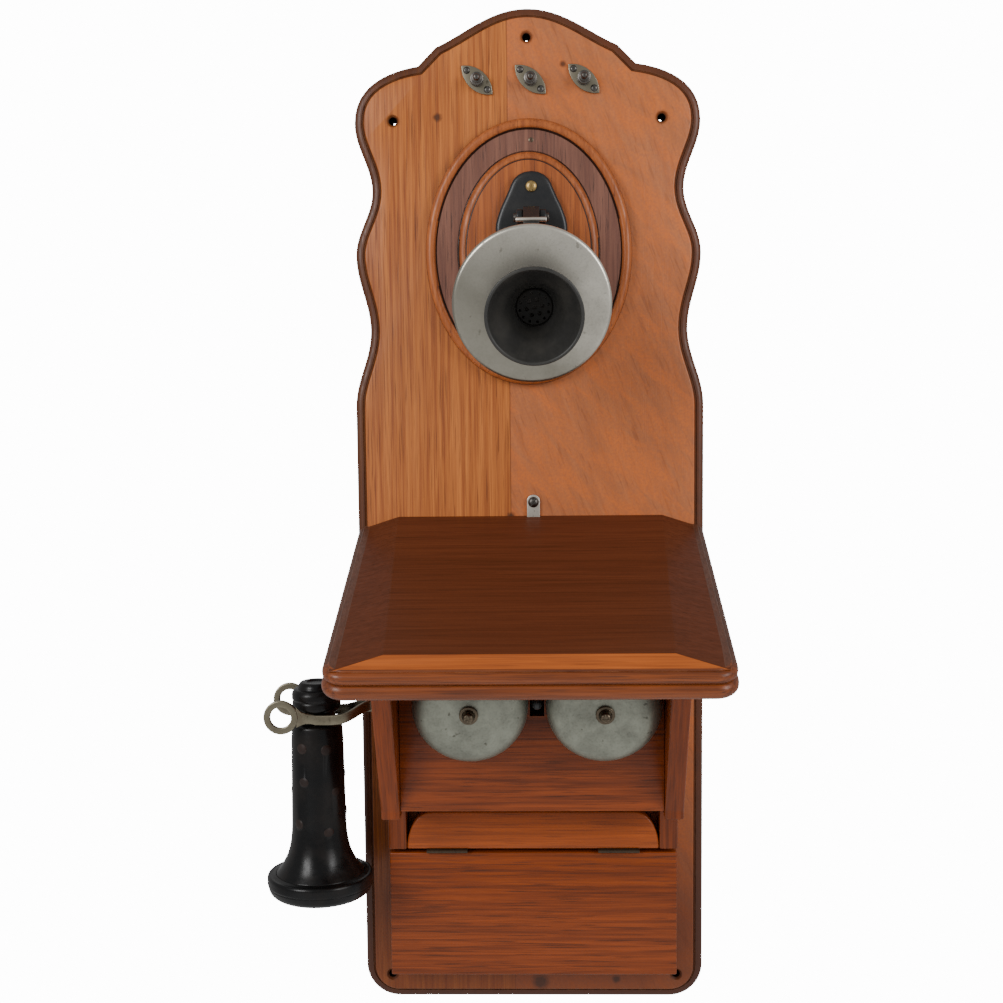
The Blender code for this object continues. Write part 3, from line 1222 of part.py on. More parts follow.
def make_mouthpiece(tilt, place):
    neck = NECK_R
    wall = MOUTH_WALL
    low = -PLATE_THICK
    top = MOUTH_LENGTH
    throat = THROAT_HEIGHT
    seat = throat - 2 * MM
    profile = [
        (MOUTH_R - wall, top), (MOUTH_R, top), (MOUTH_R, top - 2.5 * MM), (MOUTH_R - 4.5 * MM, top - 9 * MM),
        (0.68 * MOUTH_R, 0.52 * top), (0.56 * MOUTH_R, 0.3 * top), (neck + 3 * MM, 3 * MM),
        (neck + 3 * MM, GAP),
        (neck, GAP), (neck, low), (neck - wall, low), (neck - wall, seat), (THROAT_R + GAP, seat),
        (THROAT_R + GAP, throat), (0.56 * MOUTH_R - wall, 0.34 * top), (0.68 * MOUTH_R - wall, 0.55 * top),
        (MOUTH_R - 4.5 * MM - wall, top - 8.5 * MM),
    ]
    deliver(turned("mouth", profile, place, 32, closed=True), "mouthpiece", "rubber", tilt)
    base = seat + GAP
    grille_top = place @ Vector((0, 0, base + GRILLE_THICK))
    grille = rod("grille", place @ Vector((0, 0, base)), grille_top, THROAT_R, 28)
    holes = [(0, 0)]
    for index in range(6):
        angle = index * math.pi / 3
        holes.append((GRILLE_PITCH_R * math.cos(angle), GRILLE_PITCH_R * math.sin(angle)))
    drills = []
    for x, y in holes:
        start = place @ Vector((x, y, base - MM))
        drills.append(rod("drill", start, place @ Vector((x, y, base + 3 * MM)), GRILLE_HOLE_R, 10))
    grille = cut(grille, drill_set(drills))
    deliver(grille, "mouth_grille", "rubber", tilt)


# ---------------------------------------------------------------- assembly

def main():
    hinge_depth, hinge_z = hinge_axis()
    cabinet = pivot("cabinet_pivot", at(0, hinge_depth, hinge_z))
    clapper = pivot("clapper_pivot", clapper_pivot(), cabinet)
    lever = pivot("hook_pivot", at(HOOK_PIVOT_X, HOOK_DEPTH, HOOK_Z), cabinet)
    receiver = pivot("receiver_slide", at(RECEIVER_X, HOOK_DEPTH, HOOK_Z), lever)
    crank = pivot("crank_axis", at(CHEEK_OUTER, CRANK_DEPTH, CRANK_Z), cabinet)
    knob_depth = CRANK_DEPTH + CRANK_THROW * math.cos(CRANK_ARM_REST)
    knob_z = CRANK_Z + CRANK_THROW * math.sin(CRANK_ARM_REST)
    knob = pivot("knob_axis", at(CHEEK_OUTER, knob_depth, knob_z), crank)
    rotor = pivot("rotor_axis", at(MAGNET_X, *rotor_place()), cabinet)
    tilt = pivot("tilt_axis", at(BRACKET_X, TILT_DEPTH, TILT_Z))
    make_backboard()
    make_terminals()
    make_plaque()
    make_bracket()
    make_lower_panel()
    make_hinges(cabinet)
    make_lid(cabinet)
    make_cheeks(cabinet)
    make_front_panel(cabinet)
    make_catch(cabinet)
    make_gongs(cabinet)
    make_ringer(cabinet, clapper)
    make_hook(cabinet, lever)
    make_receiver(receiver)
    make_magneto(cabinet, rotor)
    make_crank(crank, knob)
    make_induction_coil(cabinet)
    make_transmitter(tilt)


main()
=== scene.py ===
"""Looks of a wall crank telephone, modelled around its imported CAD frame.

Frame: metres, +Z up, +X to the right, the front faces -Y. The origin is on the wall plane,
in the middle of the backboard's back face. Depths are measured forward from the board's front.
"""
import json
import math

import bpy
from bpy.props import FloatProperty, FloatVectorProperty, PointerProperty
from mathutils import Matrix, Vector
from mathutils.geometry import interpolate_bezier

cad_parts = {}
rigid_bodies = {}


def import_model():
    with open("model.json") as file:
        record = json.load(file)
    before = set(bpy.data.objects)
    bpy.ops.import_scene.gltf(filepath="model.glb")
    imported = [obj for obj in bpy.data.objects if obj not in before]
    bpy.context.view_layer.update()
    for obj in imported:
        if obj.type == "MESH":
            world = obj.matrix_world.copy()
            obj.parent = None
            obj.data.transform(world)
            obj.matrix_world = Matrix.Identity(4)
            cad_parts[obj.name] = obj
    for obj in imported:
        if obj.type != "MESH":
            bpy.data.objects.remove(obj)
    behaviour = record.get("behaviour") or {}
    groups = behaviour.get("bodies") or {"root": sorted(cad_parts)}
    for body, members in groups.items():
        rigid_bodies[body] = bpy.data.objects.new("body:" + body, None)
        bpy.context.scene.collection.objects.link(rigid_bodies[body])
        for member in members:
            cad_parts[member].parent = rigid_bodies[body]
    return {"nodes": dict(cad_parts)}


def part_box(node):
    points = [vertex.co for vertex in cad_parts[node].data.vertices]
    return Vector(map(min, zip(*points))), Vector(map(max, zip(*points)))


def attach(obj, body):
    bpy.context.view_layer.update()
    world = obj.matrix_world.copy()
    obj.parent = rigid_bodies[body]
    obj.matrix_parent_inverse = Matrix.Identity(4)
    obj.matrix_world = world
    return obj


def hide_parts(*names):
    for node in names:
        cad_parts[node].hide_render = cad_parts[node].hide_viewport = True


bl_info = {
    "name": "Wall Crank Telephone",
    "version": (1, 0, 0),
    "blender": (4, 5, 0),
    "location": "View3D > Sidebar > Telephone",
    "description": "Models a wall crank telephone piece by piece around its CAD frame",
    "category": "Add Mesh",
}

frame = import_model()

MM = 0.001
BOARD_LOW, BOARD_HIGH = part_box("backboard")
BOARD_THICK = BOARD_HIGH.y - BOARD_LOW.y
WIDE = BOARD_HIGH.x
TOP = BOARD_HIGH.z
BOTTOM = BOARD_LOW.z
FORWARD = Vector((0, -1, 0))
SMOOTH_ANGLE = math.radians(32)

PLAQUE_MID = (0.6 * MM, 192.5 * MM)
RING_SCREW = (2.8 * MM, 5.5 * MM, 271.5 * MM)
TERMINAL_MID = (2.7 * MM, 314.5 * MM)
TERMINAL_GAP = 38 * MM
TERMINAL_TURN = math.radians(-43)
BRACKET_X = 2.7 * MM
TILT = (40 * MM, 214 * MM)
NOD = math.radians(14)
TRANSMITTER_MID = (3.8 * MM, 110 * MM, 151.3 * MM)
FACE_SHIFT = 0.8 * MM
LUG_BOLT = (64.5 * MM, 210.2 * MM)
LUG_BOLT_R = 1.6 * MM
LID_SLOPE = math.radians(17.5)
LID_TOP_Z = -4.5 * MM
LID_DEPTH = 208 * MM
LID_THICK = 20 * MM
LID_FIELD_RISE = 0.2 * MM
STRAP_X = 2.4 * MM
CATCH_Z = 12.5 * MM
GONG_NOD = math.radians(8)
GONG_X = (-42 * MM, 50 * MM)
GONG_PLACE = (78 * MM, -119 * MM)
HOOK_Z = -129 * MM
HOOK_DEPTH = 42 * MM
HOOK_PIN_X = -72 * MM
RING_X = -176 * MM
RING_SPREAD = 20 * MM
RECEIVER_X = -153.6 * MM
CRANK = (42 * MM, -86 * MM)
CRANK_TURN = math.radians(-36)
CRANK_THROW = 34 * MM
MOUNT_HOLES = ((0, 344.2), (-96, 287), (96, 287), (-107, -346.2), (107, -346.2))

CAMERA_PLACE = (0.00710, -1.07549, 0.11541)
CAMERA_LENS = 52.04
CAMERA_PAN = math.radians(1.521)
CAMERA_DIP = math.radians(5.538)
CAMERA_ROLL = math.radians(-0.593)


def at(x, depth, z):
    """World point from a sideways place, a depth in front of the board's face and a height."""
    return Vector((x, -(BOARD_THICK + depth), z))


# ---------------------------------------------------------------- settings

def colour(label, value):
    return FloatVectorProperty(name=label, description=label + " colour, linear", subtype="COLOR",
                               size=3, min=0, max=1, default=value)


def length(label, value):
    return FloatProperty(name=label, description=label + " of the piece", unit="LENGTH",
                         subtype="DISTANCE", min=0, default=value)


class TelephoneColours(bpy.types.PropertyGroup):
    """Colours that a user would change."""
    board_light: colour("Board light grain", (0.66, 0.21, 0.045))
    board_dark: colour("Board dark grain", (0.25, 0.06, 0.014))
    figured: colour("Figured plank", (0.52, 0.17, 0.06))
    trim_light: colour("Cabinet light grain", (0.30, 0.056, 0.006))
    trim_dark: colour("Cabinet dark grain", (0.085, 0.015, 0.002))
    lid_top: colour("Desk lid top", (0.135, 0.037, 0.015))
    lid_edge: colour("Desk lid edge", (0.28, 0.068, 0.015))
    ring: colour("Plaque ring", (0.27, 0.12, 0.08))
    nickel: colour("Nickel plate", (0.52, 0.49, 0.41))
    gong: colour("Gong metal", (0.31, 0.32, 0.26))
    rubber: colour("Hard rubber", (0.003, 0.003, 0.0033))


class TelephoneSizes(bpy.types.PropertyGroup):
    """Small sizes that a user would change."""
    plate_edge: length("Plate edge rounding", 0.4 * MM)
    wood_edge: length("Wood edge rounding", 1.1 * MM)
    gong_wall: length("Gong wall", 2.0 * MM)
    shell_stud: length("Shell stud radius", 4.0 * MM)


# ---------------------------------------------------------------- modelling tools

def drop_selection():
    for obj in bpy.context.selected_objects:
        obj.select_set(False)


def named(name):
    """The object just added, given its name."""
    obj = bpy.context.object
    obj.name = name
    obj.data.name = name
    return obj


def pick(obj):
    drop_selection()
    bpy.context.view_layer.objects.active = obj
    obj.select_set(True)
    return obj


def edit(obj):
    pick(obj)
    bpy.ops.object.mode_set(mode="EDIT")
    bpy.ops.mesh.select_mode(type="VERT")
    bpy.ops.mesh.select_all(action="SELECT")


def leave():
    bpy.ops.object.mode_set(mode="OBJECT")


def trace(name, points, fill=False):
    """A chain of edges drawn point by point, filled to one face if asked."""
    drop_selection()
    bpy.ops.mesh.primitive_plane_add(size=MM, location=(0, 0, 0))
    obj = named(name)
    bpy.ops.object.mode_set(mode="EDIT")
    bpy.ops.mesh.select_mode(type="VERT")
    bpy.ops.mesh.select_all(action="SELECT")
    bpy.ops.mesh.merge(type="CENTER")
    bpy.ops.transform.translate(value=points[0])
    for start, end in zip(points, points[1:]):
        bpy.ops.mesh.extrude_vertices_move(TRANSFORM_OT_translate={"value": end - start})
    if fill:
        bpy.ops.mesh.select_all(action="SELECT")
        bpy.ops.mesh.edge_face_add()
    leave()
    return obj


def face_out(obj):
    edit(obj)
    bpy.ops.mesh.remove_doubles(threshold=0.002 * MM)
    bpy.ops.mesh.select_all(action="SELECT")
    bpy.ops.mesh.normals_make_consistent(inside=False)
    leave()
    return obj


def place(obj, matrix):
    pick(obj)
    bpy.context.view_layer.update()
    obj.matrix_world = matrix @ obj.matrix_world
    bpy.ops.object.transform_apply(location=True, rotation=True, scale=True)
    return obj


def slab(name, outline, shift, steps=()):
    """A plate: an outline filled, extruded by shift, its far face then moulded by (inset, rise) steps."""
    obj = trace(name, outline, fill=True)
    edit(obj)
    bpy.ops.mesh.select_mode(type="FACE")
    bpy.ops.mesh.select_all(action="SELECT")
    bpy.ops.mesh.extrude_region_move(TRANSFORM_OT_translate={"value": shift})
    rise_way = shift.normalized()
    for inset, rise in steps:
        bpy.ops.mesh.inset(thickness=inset * MM, depth=0, use_even_offset=True)
        bpy.ops.transform.translate(value=rise_way * rise * MM)
    leave()
    return face_out(obj)


def lathe(name, profile, matrix=Matrix.Identity(4), sides=64, closed=False):
    """A turned shape from (radius, height) points, its axis laid along the matrix's Z."""
    points = [Vector((radius, 0, height)) for radius, height in profile]
    if closed:
        points.append(points[0].copy())
    obj = trace(name, points)
    edit(obj)
    bpy.ops.mesh.spin(steps=sides, angle=math.tau, center=(0, 0, 0), axis=(0, 0, 1))
    leave()
    face_out(obj)
    return place(obj, matrix)


def box(name, low, high):
    """A box between two corners given as (x, depth, z)."""
    start = at(*low)
    end = at(*high)
    drop_selection()
    bpy.ops.mesh.primitive_cube_add(size=1, location=(start + end) / 2)
    obj = named(name)
    obj.scale = [abs(end[axis] - start[axis]) for axis in range(3)]
    return place(obj, Matrix.Identity(4))


def along(origin, direction):
    """A matrix whose +Z runs along direction, placed at origin."""
    turn = Vector((0, 0, 1)).rotation_difference(Vector(direction).normalized())
    return Matrix.Translation(origin) @ turn.to_matrix().to_4x4()


def rod(name, start, end, radius, sides=32):
    span = end - start
    drop_selection()
    bpy.ops.mesh.primitive_cylinder_add(vertices=sides, radius=radius, depth=span.length)
    return place(named(name), along((start + end) / 2, span))


def apply_modifier(obj, kind, **settings):
    pick(obj)
    modifier = obj.modifiers.new(kind.lower(), kind)
    for key, value in settings.items():
        setattr(modifier, key, value)
    bpy.ops.object.modifier_apply(modifier=modifier.name)
    return obj


def ease(obj, width, segments=3, angle=30):
    """Round every edge sharper than an angle in degrees."""
    return apply_modifier(obj, "BEVEL", width=width, segments=segments, limit_method="ANGLE",
                          angle_limit=math.radians(angle), use_clamp_overlap=True)


def combine(body, tool, operation):
    apply_modifier(body, "BOOLEAN", object=tool, operation=operation, solver="EXACT")
    bpy.data.objects.remove(tool, do_unlink=True)
    return body


def carve(body, *tools):
    for tool in tools:
        combine(body, tool, "DIFFERENCE")
    return body


def unite(body, *others):
    for other in others:
        combine(body, other, "UNION")
    return body


def gather(first, *others):
    """Separate shells kept as one object."""
    pick(first)
    for other in others:
        other.select_set(True)
    bpy.ops.object.join()
    return first


def twin(obj, name, matrix):
    pick(obj)
    bpy.ops.object.duplicate(linked=False)
    return place(named(name), matrix)


def arc(centre, radius, start, end, steps):
    """Points on an arc, angles in degrees."""
    points = []
    for index in range(steps + 1):
        angle = math.radians(start + (end - start) * index / steps)
        points.append((centre[0] + radius * math.cos(angle), centre[1] + radius * math.sin(angle)))
    return points


def eased(corners, steps=5, closed=False):
    """A line of (across, up, rounding) corners with each rounding drawn as a curve, in millimetres."""
    points = []
    count = len(corners)
    for index, (across, up, rounding) in enumerate(corners):
        middle = Vector((across, up))
        ends = closed or 0 < index < count - 1
        if rounding <= 0 or not ends:
            points.append(middle * MM)
            continue
        before = Vector(corners[index - 1][:2]) - middle
        after = Vector(corners[(index + 1) % count][:2]) - middle
        start = middle + before * min(rounding / before.length, 0.48)
        end = middle + after * min(rounding / after.length, 0.48)
        for step in range(steps + 1):
            t = step / steps
            point = start * (1 - t) ** 2 + middle * 2 * t * (1 - t) + end * t ** 2
            points.append(point * MM)
    return [(point.x, point.y) for point in points]


def in_front(outline, depth):
    """An (x, z) outline as world points at a depth."""
    return [at(x, depth, z) for x, z in outline]


def at_side(outline, x):
    """A (depth, z) outline as world points at one sideways place."""
    return [at(x, depth, z) for depth, z in outline]


def mirrored(half):
    return half + [(-x, z) for x, z in reversed(half) if x > 0.01 * MM]


def shifted(outline, across, up):
    return [(x + across, z + up) for x, z in outline]


def turned_points(points, angle):
    cosine = math.cos(angle)
    sine = math.sin(angle)
    return [(x * cosine - y * sine, x * sine + y * cosine) for x, y in points]


def finish_in(obj, material):
    """Replace every material of an object by one."""
    obj.data.materials.clear()
    obj.data.materials.append(material)


def dress(obj, body, slot, material, *nodes):
    """Shade a finished piece, give it its material and tie it to the frame."""
    pick(obj)
    bpy.ops.object.shade_smooth_by_angle(angle=SMOOTH_ANGLE)
    finish_in(obj, material)
    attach(obj, body)
    if nodes:
        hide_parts(*nodes)
    return obj


def paint(obj, material, test):
    """Give a second material to the faces whose centre and normal pass a test."""
    edit(obj)
    bpy.ops.mesh.select_mode(type="FACE")
    bpy.ops.mesh.select_all(action="DESELECT")
    leave()
    obj.data.materials.append(material)
    for face in obj.data.polygons:
        face.select = test(face.center, face.normal)
    obj.active_material_index = len(obj.data.materials) - 1
    bpy.ops.object.mode_set(mode="EDIT")
    bpy.ops.object.material_slot_assign()
    leave()
    return obj


def slotted_head(name, radius, height, matrix, turn):
    """A domed screw head with a driver slot."""
    profile = eased([(0, height / MM, 0), (radius / MM * 0.55, height / MM * 0.95, 1),
                     (radius / MM, height / MM * 0.35, 0.6), (radius / MM, 0, 0), (0, 0, 0)])
    head = lathe(name, profile, sides=32)
    drop_selection()
    bpy.ops.mesh.primitive_cube_add(size=1, location=(0, 0, height))
    tool = bpy.context.object
    tool.scale = (radius * 2.4, radius * 0.26, height * 0.9)
    tool.rotation_euler = (0, 0, turn)
    place(tool, Matrix.Identity(4))
    carve(head, tool)
    return place(head, matrix)


# ---------------------------------------------------------------- shader tools

def feed(tree, socket, value):
    """Link another node's output to a socket, or set the socket's plain value."""
    if isinstance(value, bpy.types.NodeSocket):
        tree.links.new(value, socket)
    elif socket.type == "RGBA":
        socket.default_value = (*value[:3], 1)
    else:
        socket.default_value = value


def make(tree, kind, settings=None, **inputs):
    """Add a node; each input is a plain value or another node's output."""
    node = tree.nodes.new(kind)
    for key, value in (settings or {}).items():
        setattr(node, key, value)
    for key, value in inputs.items():
        feed(tree, node.inputs[key.replace("_", " ")], value)
    return node


def calc(tree, operation, first, second=0.0):
    node = make(tree, "ShaderNodeMath", {"operation": operation})
    feed(tree, node.inputs[0], first)
    feed(tree, node.inputs[1], second)
    return node.outputs[0]


def mix(tree, factor, first, second):
    node = make(tree, "ShaderNodeMix", {"data_type": "RGBA"})
    for index, value in ((0, factor), (6, first), (7, second)):
        feed(tree, node.inputs[index], value)
    return node.outputs[2]


def remap(tree, value, low, high, start=0.0, end=1.0):
    node = make(tree, "ShaderNodeMapRange", {"clamp": True}, From_Min=low, From_Max=high,
                To_Min=start, To_Max=end)
    tree.links.new(value, node.inputs[0])
    return node.outputs[0]


def noise(tree, vector, scale, detail=3.0, roughness=0.55, distortion=0.0):
    node = make(tree, "ShaderNodeTexNoise", Vector=vector, Scale=scale, Detail=detail,
                Roughness=roughness, Distortion=distortion)
    return node.outputs[0]


def stretch(tree, vector, scale, turn=0.0):
    """Coordinates turned about the front axis, then scaled apart so that noise draws out into grain."""
    if turn:
        vector = make(tree, "ShaderNodeMapping", Vector=vector, Rotation=(0, turn, 0)).outputs[0]
    return make(tree, "ShaderNodeMapping", Vector=vector, Scale=scale).outputs[0]


def new_group(name, inputs, outputs):
    tree = bpy.data.node_groups.new(name, "ShaderNodeTree")
    for label, kind, default in inputs:
        socket = tree.interface.new_socket(label, in_out="INPUT", socket_type="NodeSocket" + kind)
        socket.default_value = default
    for label, kind in outputs:
        tree.interface.new_socket(label, in_out="OUTPUT", socket_type="NodeSocket" + kind)
    return tree, tree.nodes.new("NodeGroupInput").outputs, tree.nodes.new("NodeGroupOutput").inputs


def use(tree, group, **inputs):
    node = tree.nodes.new("ShaderNodeGroup")
    node.node_tree = bpy.data.node_groups[group]
    for key, value in inputs.items():
        feed(tree, node.inputs[key.replace("_", " ")], value)
    return node


def wood_group():
    """Streaks, broad tone and open pores along the third axis of a stretched vector."""
    tree, given, out = new_group("Wood Grain", (
        ("Vector", "Vector", (0, 0, 0)), ("Light", "Color", (0.4, 0.13, 0.04, 1)),
        ("Dark", "Color", (0.2, 0.05, 0.02, 1)), ("Streak", "Float", 0.8), ("Pores", "Float", 0.6),
    ), (("Color", "Color"), ("Roughness", "Float"), ("Height", "Float")))
    vector = given["Vector"]
    bands = remap(tree, noise(tree, vector, 1.0, 5, 0.62, 0.4), 0.38, 0.62)
    fine = remap(tree, noise(tree, vector, 2.9, 4, 0.6), 0.40, 0.62)
    broad = remap(tree, noise(tree, vector, 0.16, 2, 0.5, 0.6), 0.3, 0.7)
    amount = calc(tree, "MULTIPLY", bands, 0.55)
    streaks = calc(tree, "ADD", amount, calc(tree, "MULTIPLY", fine, 0.3))
    streaks = calc(tree, "ADD", streaks, calc(tree, "MULTIPLY", broad, 0.25))
    streaks = calc(tree, "MULTIPLY", streaks, given["Streak"])
    base = mix(tree, streaks, given["Light"], given["Dark"])
    pores = remap(tree, noise(tree, vector, 3.7, 2, 0.4), 0.60, 0.68)
    pores = calc(tree, "MULTIPLY", pores, given["Pores"])
    dark = mix(tree, 0.72, given["Dark"], (0.02, 0.008, 0.004))
    tree.links.new(mix(tree, pores, base, dark), out["Color"])
    rough = calc(tree, "ADD", calc(tree, "MULTIPLY", fine, 0.16), calc(tree, "MULTIPLY", pores, 0.2))
    tree.links.new(calc(tree, "ADD", rough, 0.30), out["Roughness"])
    height = calc(tree, "SUBTRACT", calc(tree, "MULTIPLY", fine, 0.25), pores)
    tree.links.new(height, out["Height"])


def edge_group():
    """Where a surface turns sharply, broken up by noise."""
    tree, given, out = new_group("Sharp Edge Mask", (
        ("Vector", "Vector", (0, 0, 0)), ("Radius", "Float", 0.001), ("Breakup", "Float", 120.0),
    ), (("Mask", "Float"),))
    bevel = make(tree, "ShaderNodeBevel", {"samples": 4}, Radius=given["Radius"])
    flat = make(tree, "ShaderNodeNewGeometry").outputs["Normal"]
    dot = make(tree, "ShaderNodeVectorMath", {"operation": "DOT_PRODUCT"})
    tree.links.new(bevel.outputs[0], dot.inputs[0])
    tree.links.new(flat, dot.inputs[1])
    turn = remap(tree, dot.outputs["Value"], 0.995, 0.86)
    broken = remap(tree, noise(tree, given["Vector"], given["Breakup"], 4, 0.6), 0.35, 0.62)
    tree.links.new(calc(tree, "MULTIPLY", turn, broken), out["Mask"])


def spot_group():
    """A soft round darkening about a point, used for stains and for painted shade in the mounting holes."""
    tree, given, out = new_group("Dark Spot", (
        ("Vector", "Vector", (0, 0, 0)), ("Centre", "Vector", (0, 0, 0)), ("Radius", "Float", 0.006),
    ), (("Mask", "Float"),))
    wobble = noise(tree, given["Vector"], 260.0, 3)
    gap = make(tree, "ShaderNodeVectorMath", {"operation": "DISTANCE"})
    tree.links.new(given["Vector"], gap.inputs[0])
    tree.links.new(given["Centre"], gap.inputs[1])
    near = calc(tree, "DIVIDE", gap.outputs["Value"], given["Radius"])
    near = calc(tree, "ADD", near, calc(tree, "MULTIPLY", wobble, 0.7))
    tree.links.new(remap(tree, near, 1.35, 0.75), out["Mask"])


def patina_group():
    """Plated or bare metal with cloudy tarnish and small pits."""
    tree, given, out = new_group("Metal Patina", (
        ("Vector", "Vector", (0, 0, 0)), ("Base", "Color", (0.5, 0.48, 0.42, 1)),
        ("Tarnish", "Color", (0.12, 0.1, 0.07, 1)), ("Cloud", "Float", 45.0), ("Amount", "Float", 0.5),
        ("Pits", "Float", 0.3),
    ), (("Color", "Color"), ("Roughness", "Float"), ("Height", "Float")))
    vector = given["Vector"]
    cloud = remap(tree, noise(tree, vector, given["Cloud"], 6, 0.62, 0.3), 0.36, 0.72)
    speckle = remap(tree, noise(tree, vector, 620.0, 3, 0.6), 0.46, 0.74)
    pits = remap(tree, noise(tree, vector, 170.0, 2, 0.5), 0.68, 0.74)
    pits = calc(tree, "MULTIPLY", pits, given["Pits"])
    veil = calc(tree, "ADD", calc(tree, "MULTIPLY", cloud, 0.75), calc(tree, "MULTIPLY", speckle, 0.3))
    veil = calc(tree, "MULTIPLY", veil, given["Amount"])
    base = mix(tree, veil, given["Base"], given["Tarnish"])
    tree.links.new(mix(tree, pits, base, (0.03, 0.022, 0.016)), out["Color"])
    rough = calc(tree, "ADD", calc(tree, "MULTIPLY", veil, 0.25), calc(tree, "MULTIPLY", pits, 0.3))
    tree.links.new(calc(tree, "ADD", rough, 0.32), out["Roughness"])
    tree.links.new(calc(tree, "SUBTRACT", calc(tree, "MULTIPLY", speckle, 0.25), pits), out["Height"])


def begin(name):
    """A new material, its shader and its object coordinates."""
    material = bpy.data.materials.new(name)
    material.use_nodes = True
    tree = material.node_tree
    vector = make(tree, "ShaderNodeTexCoord").outputs["Object"]
    return material, tree, tree.nodes["Principled BSDF"], vector


def relief(tree, shader, height, strength, distance):
    bump = make(tree, "ShaderNodeBump", Strength=strength, Distance=distance)
    tree.links.new(height, bump.inputs["Height"])
    tree.links.new(bump.outputs[0], shader.inputs["Normal"])


def wood(name, light, dark, scale, streak=0.8, pores=0.5, edge_colour=None, coat=0.08, shine=0.3):
    """Varnished wood, its grain along the axis with the smallest scale."""
    material, tree, shader, vector = begin(name)
    grain = use(tree, "Wood Grain", Vector=stretch(tree, vector, scale), Light=light, Dark=dark,
                Streak=streak, Pores=pores)
    shade = grain.outputs["Color"]
    if edge_colour is not None:
        edge = use(tree, "Sharp Edge Mask", Vector=vector, Radius=0.9 * MM)
        shade = mix(tree, calc(tree, "MULTIPLY", edge.outputs[0], 0.6), shade, edge_colour)
    tree.links.new(shade, shader.inputs["Base Color"])
    tree.links.new(grain.outputs["Roughness"], shader.inputs["Roughness"])
    shader.inputs["Coat Weight"].default_value = coat
    shader.inputs["Coat Roughness"].default_value = 0.28
    shader.inputs["Specular IOR Level"].default_value = shine
    relief(tree, shader, grain.outputs["Height"], 0.35, 0.15 * MM)
    return material


def board_material(colours):
    """Two planks: straight grain on the left, a redder mottled figure on the right, stains at the holes that also paint
    shade into the countersinks.
    """
    material, tree, shader, vector = begin("Board Oak")
    split = make(tree, "ShaderNodeSeparateXYZ", Vector=vector).outputs
    left = use(tree, "Wood Grain", Vector=stretch(tree, vector, (330, 330, 7)), Light=colours.board_light,
               Dark=colours.board_dark, Streak=0.95, Pores=0.55)
    right = use(tree, "Wood Grain", Vector=stretch(tree, vector, (150, 150, 16), 0.35),
                Light=colours.figured, Dark=colours.board_dark, Streak=0.4, Pores=0.25)
    fleck = remap(tree, noise(tree, stretch(tree, vector, (75, 40, 22), 0.75), 1.0, 5, 0.6, 0.8), 0.42, 0.64)
    mottle = remap(tree, noise(tree, vector, 520.0, 2, 0.5), 0.35, 0.7)
    warm = mix(tree, calc(tree, "MULTIPLY", fleck, 0.7), right.outputs["Color"], (0.66, 0.16, 0.03))
    warm = mix(tree, calc(tree, "MULTIPLY", mottle, 0.4), warm, (0.30, 0.11, 0.06))
    side = remap(tree, split["X"], -14.3 * MM, -13.7 * MM)
    shade = mix(tree, side, left.outputs["Color"], warm)
    seam = remap(tree, calc(tree, "ABSOLUTE", calc(tree, "ADD", split["X"], 14 * MM)), 0.5 * MM, 0.15 * MM)
    shade = mix(tree, calc(tree, "MULTIPLY", seam, 0.55), shade, (0.09, 0.03, 0.012))
    # Painted shade: the board darkens towards the bottom, standing in for the shade below the cabinet.
    low = remap(tree, split["Z"], -150 * MM, -300 * MM)
    shade = mix(tree, calc(tree, "MULTIPLY", low, 0.8), shade, (0.11, 0.021, 0.004))
    # The spots on the mounting holes darken the countersinks as well as the wood round them: partly stain, partly
    # painted shade in the holes.
    spots = [(x * MM, z * MM, 5.6 * MM) for x, z in MOUNT_HOLES]
    spots += [(5 * MM, -352 * MM, 8 * MM), (26 * MM, 325 * MM, 3 * MM), (-64 * MM, 289 * MM, 4 * MM),
              (-101 * MM, -8 * MM, 3 * MM), (-14 * MM, 2 * MM, 4 * MM), (62 * MM, -350 * MM, 4 * MM)]
    for x, z, radius in spots:
        spot = use(tree, "Dark Spot", Vector=vector, Centre=at(x, 0, z), Radius=radius)
        shade = mix(tree, calc(tree, "MULTIPLY", spot.outputs[0], 0.8), shade, (0.035, 0.015, 0.009))
    # Painted shade: the edge moulding darkens towards the wall, where the board meets it.
    depth = remap(tree, split["Y"], -BOARD_THICK + 0.5 * MM, -BOARD_THICK + 2.2 * MM)
    shade = mix(tree, calc(tree, "MULTIPLY", depth, 0.85), shade, (0.045, 0.014, 0.007))
    edge = use(tree, "Sharp Edge Mask", Vector=vector, Radius=0.8 * MM)
    shade = mix(tree, calc(tree, "MULTIPLY", edge.outputs[0], 0.3), shade, (0.5, 0.25, 0.12))
    tree.links.new(shade, shader.inputs["Base Color"])
    tree.links.new(left.outputs["Roughness"], shader.inputs["Roughness"])
    shader.inputs["Coat Weight"].default_value = 0.08
    shader.inputs["Coat Roughness"].default_value = 0.3
    shader.inputs["Specular IOR Level"].default_value = 0.3
    relief(tree, shader, left.outputs["Height"], 0.3, 0.15 * MM)
    return material


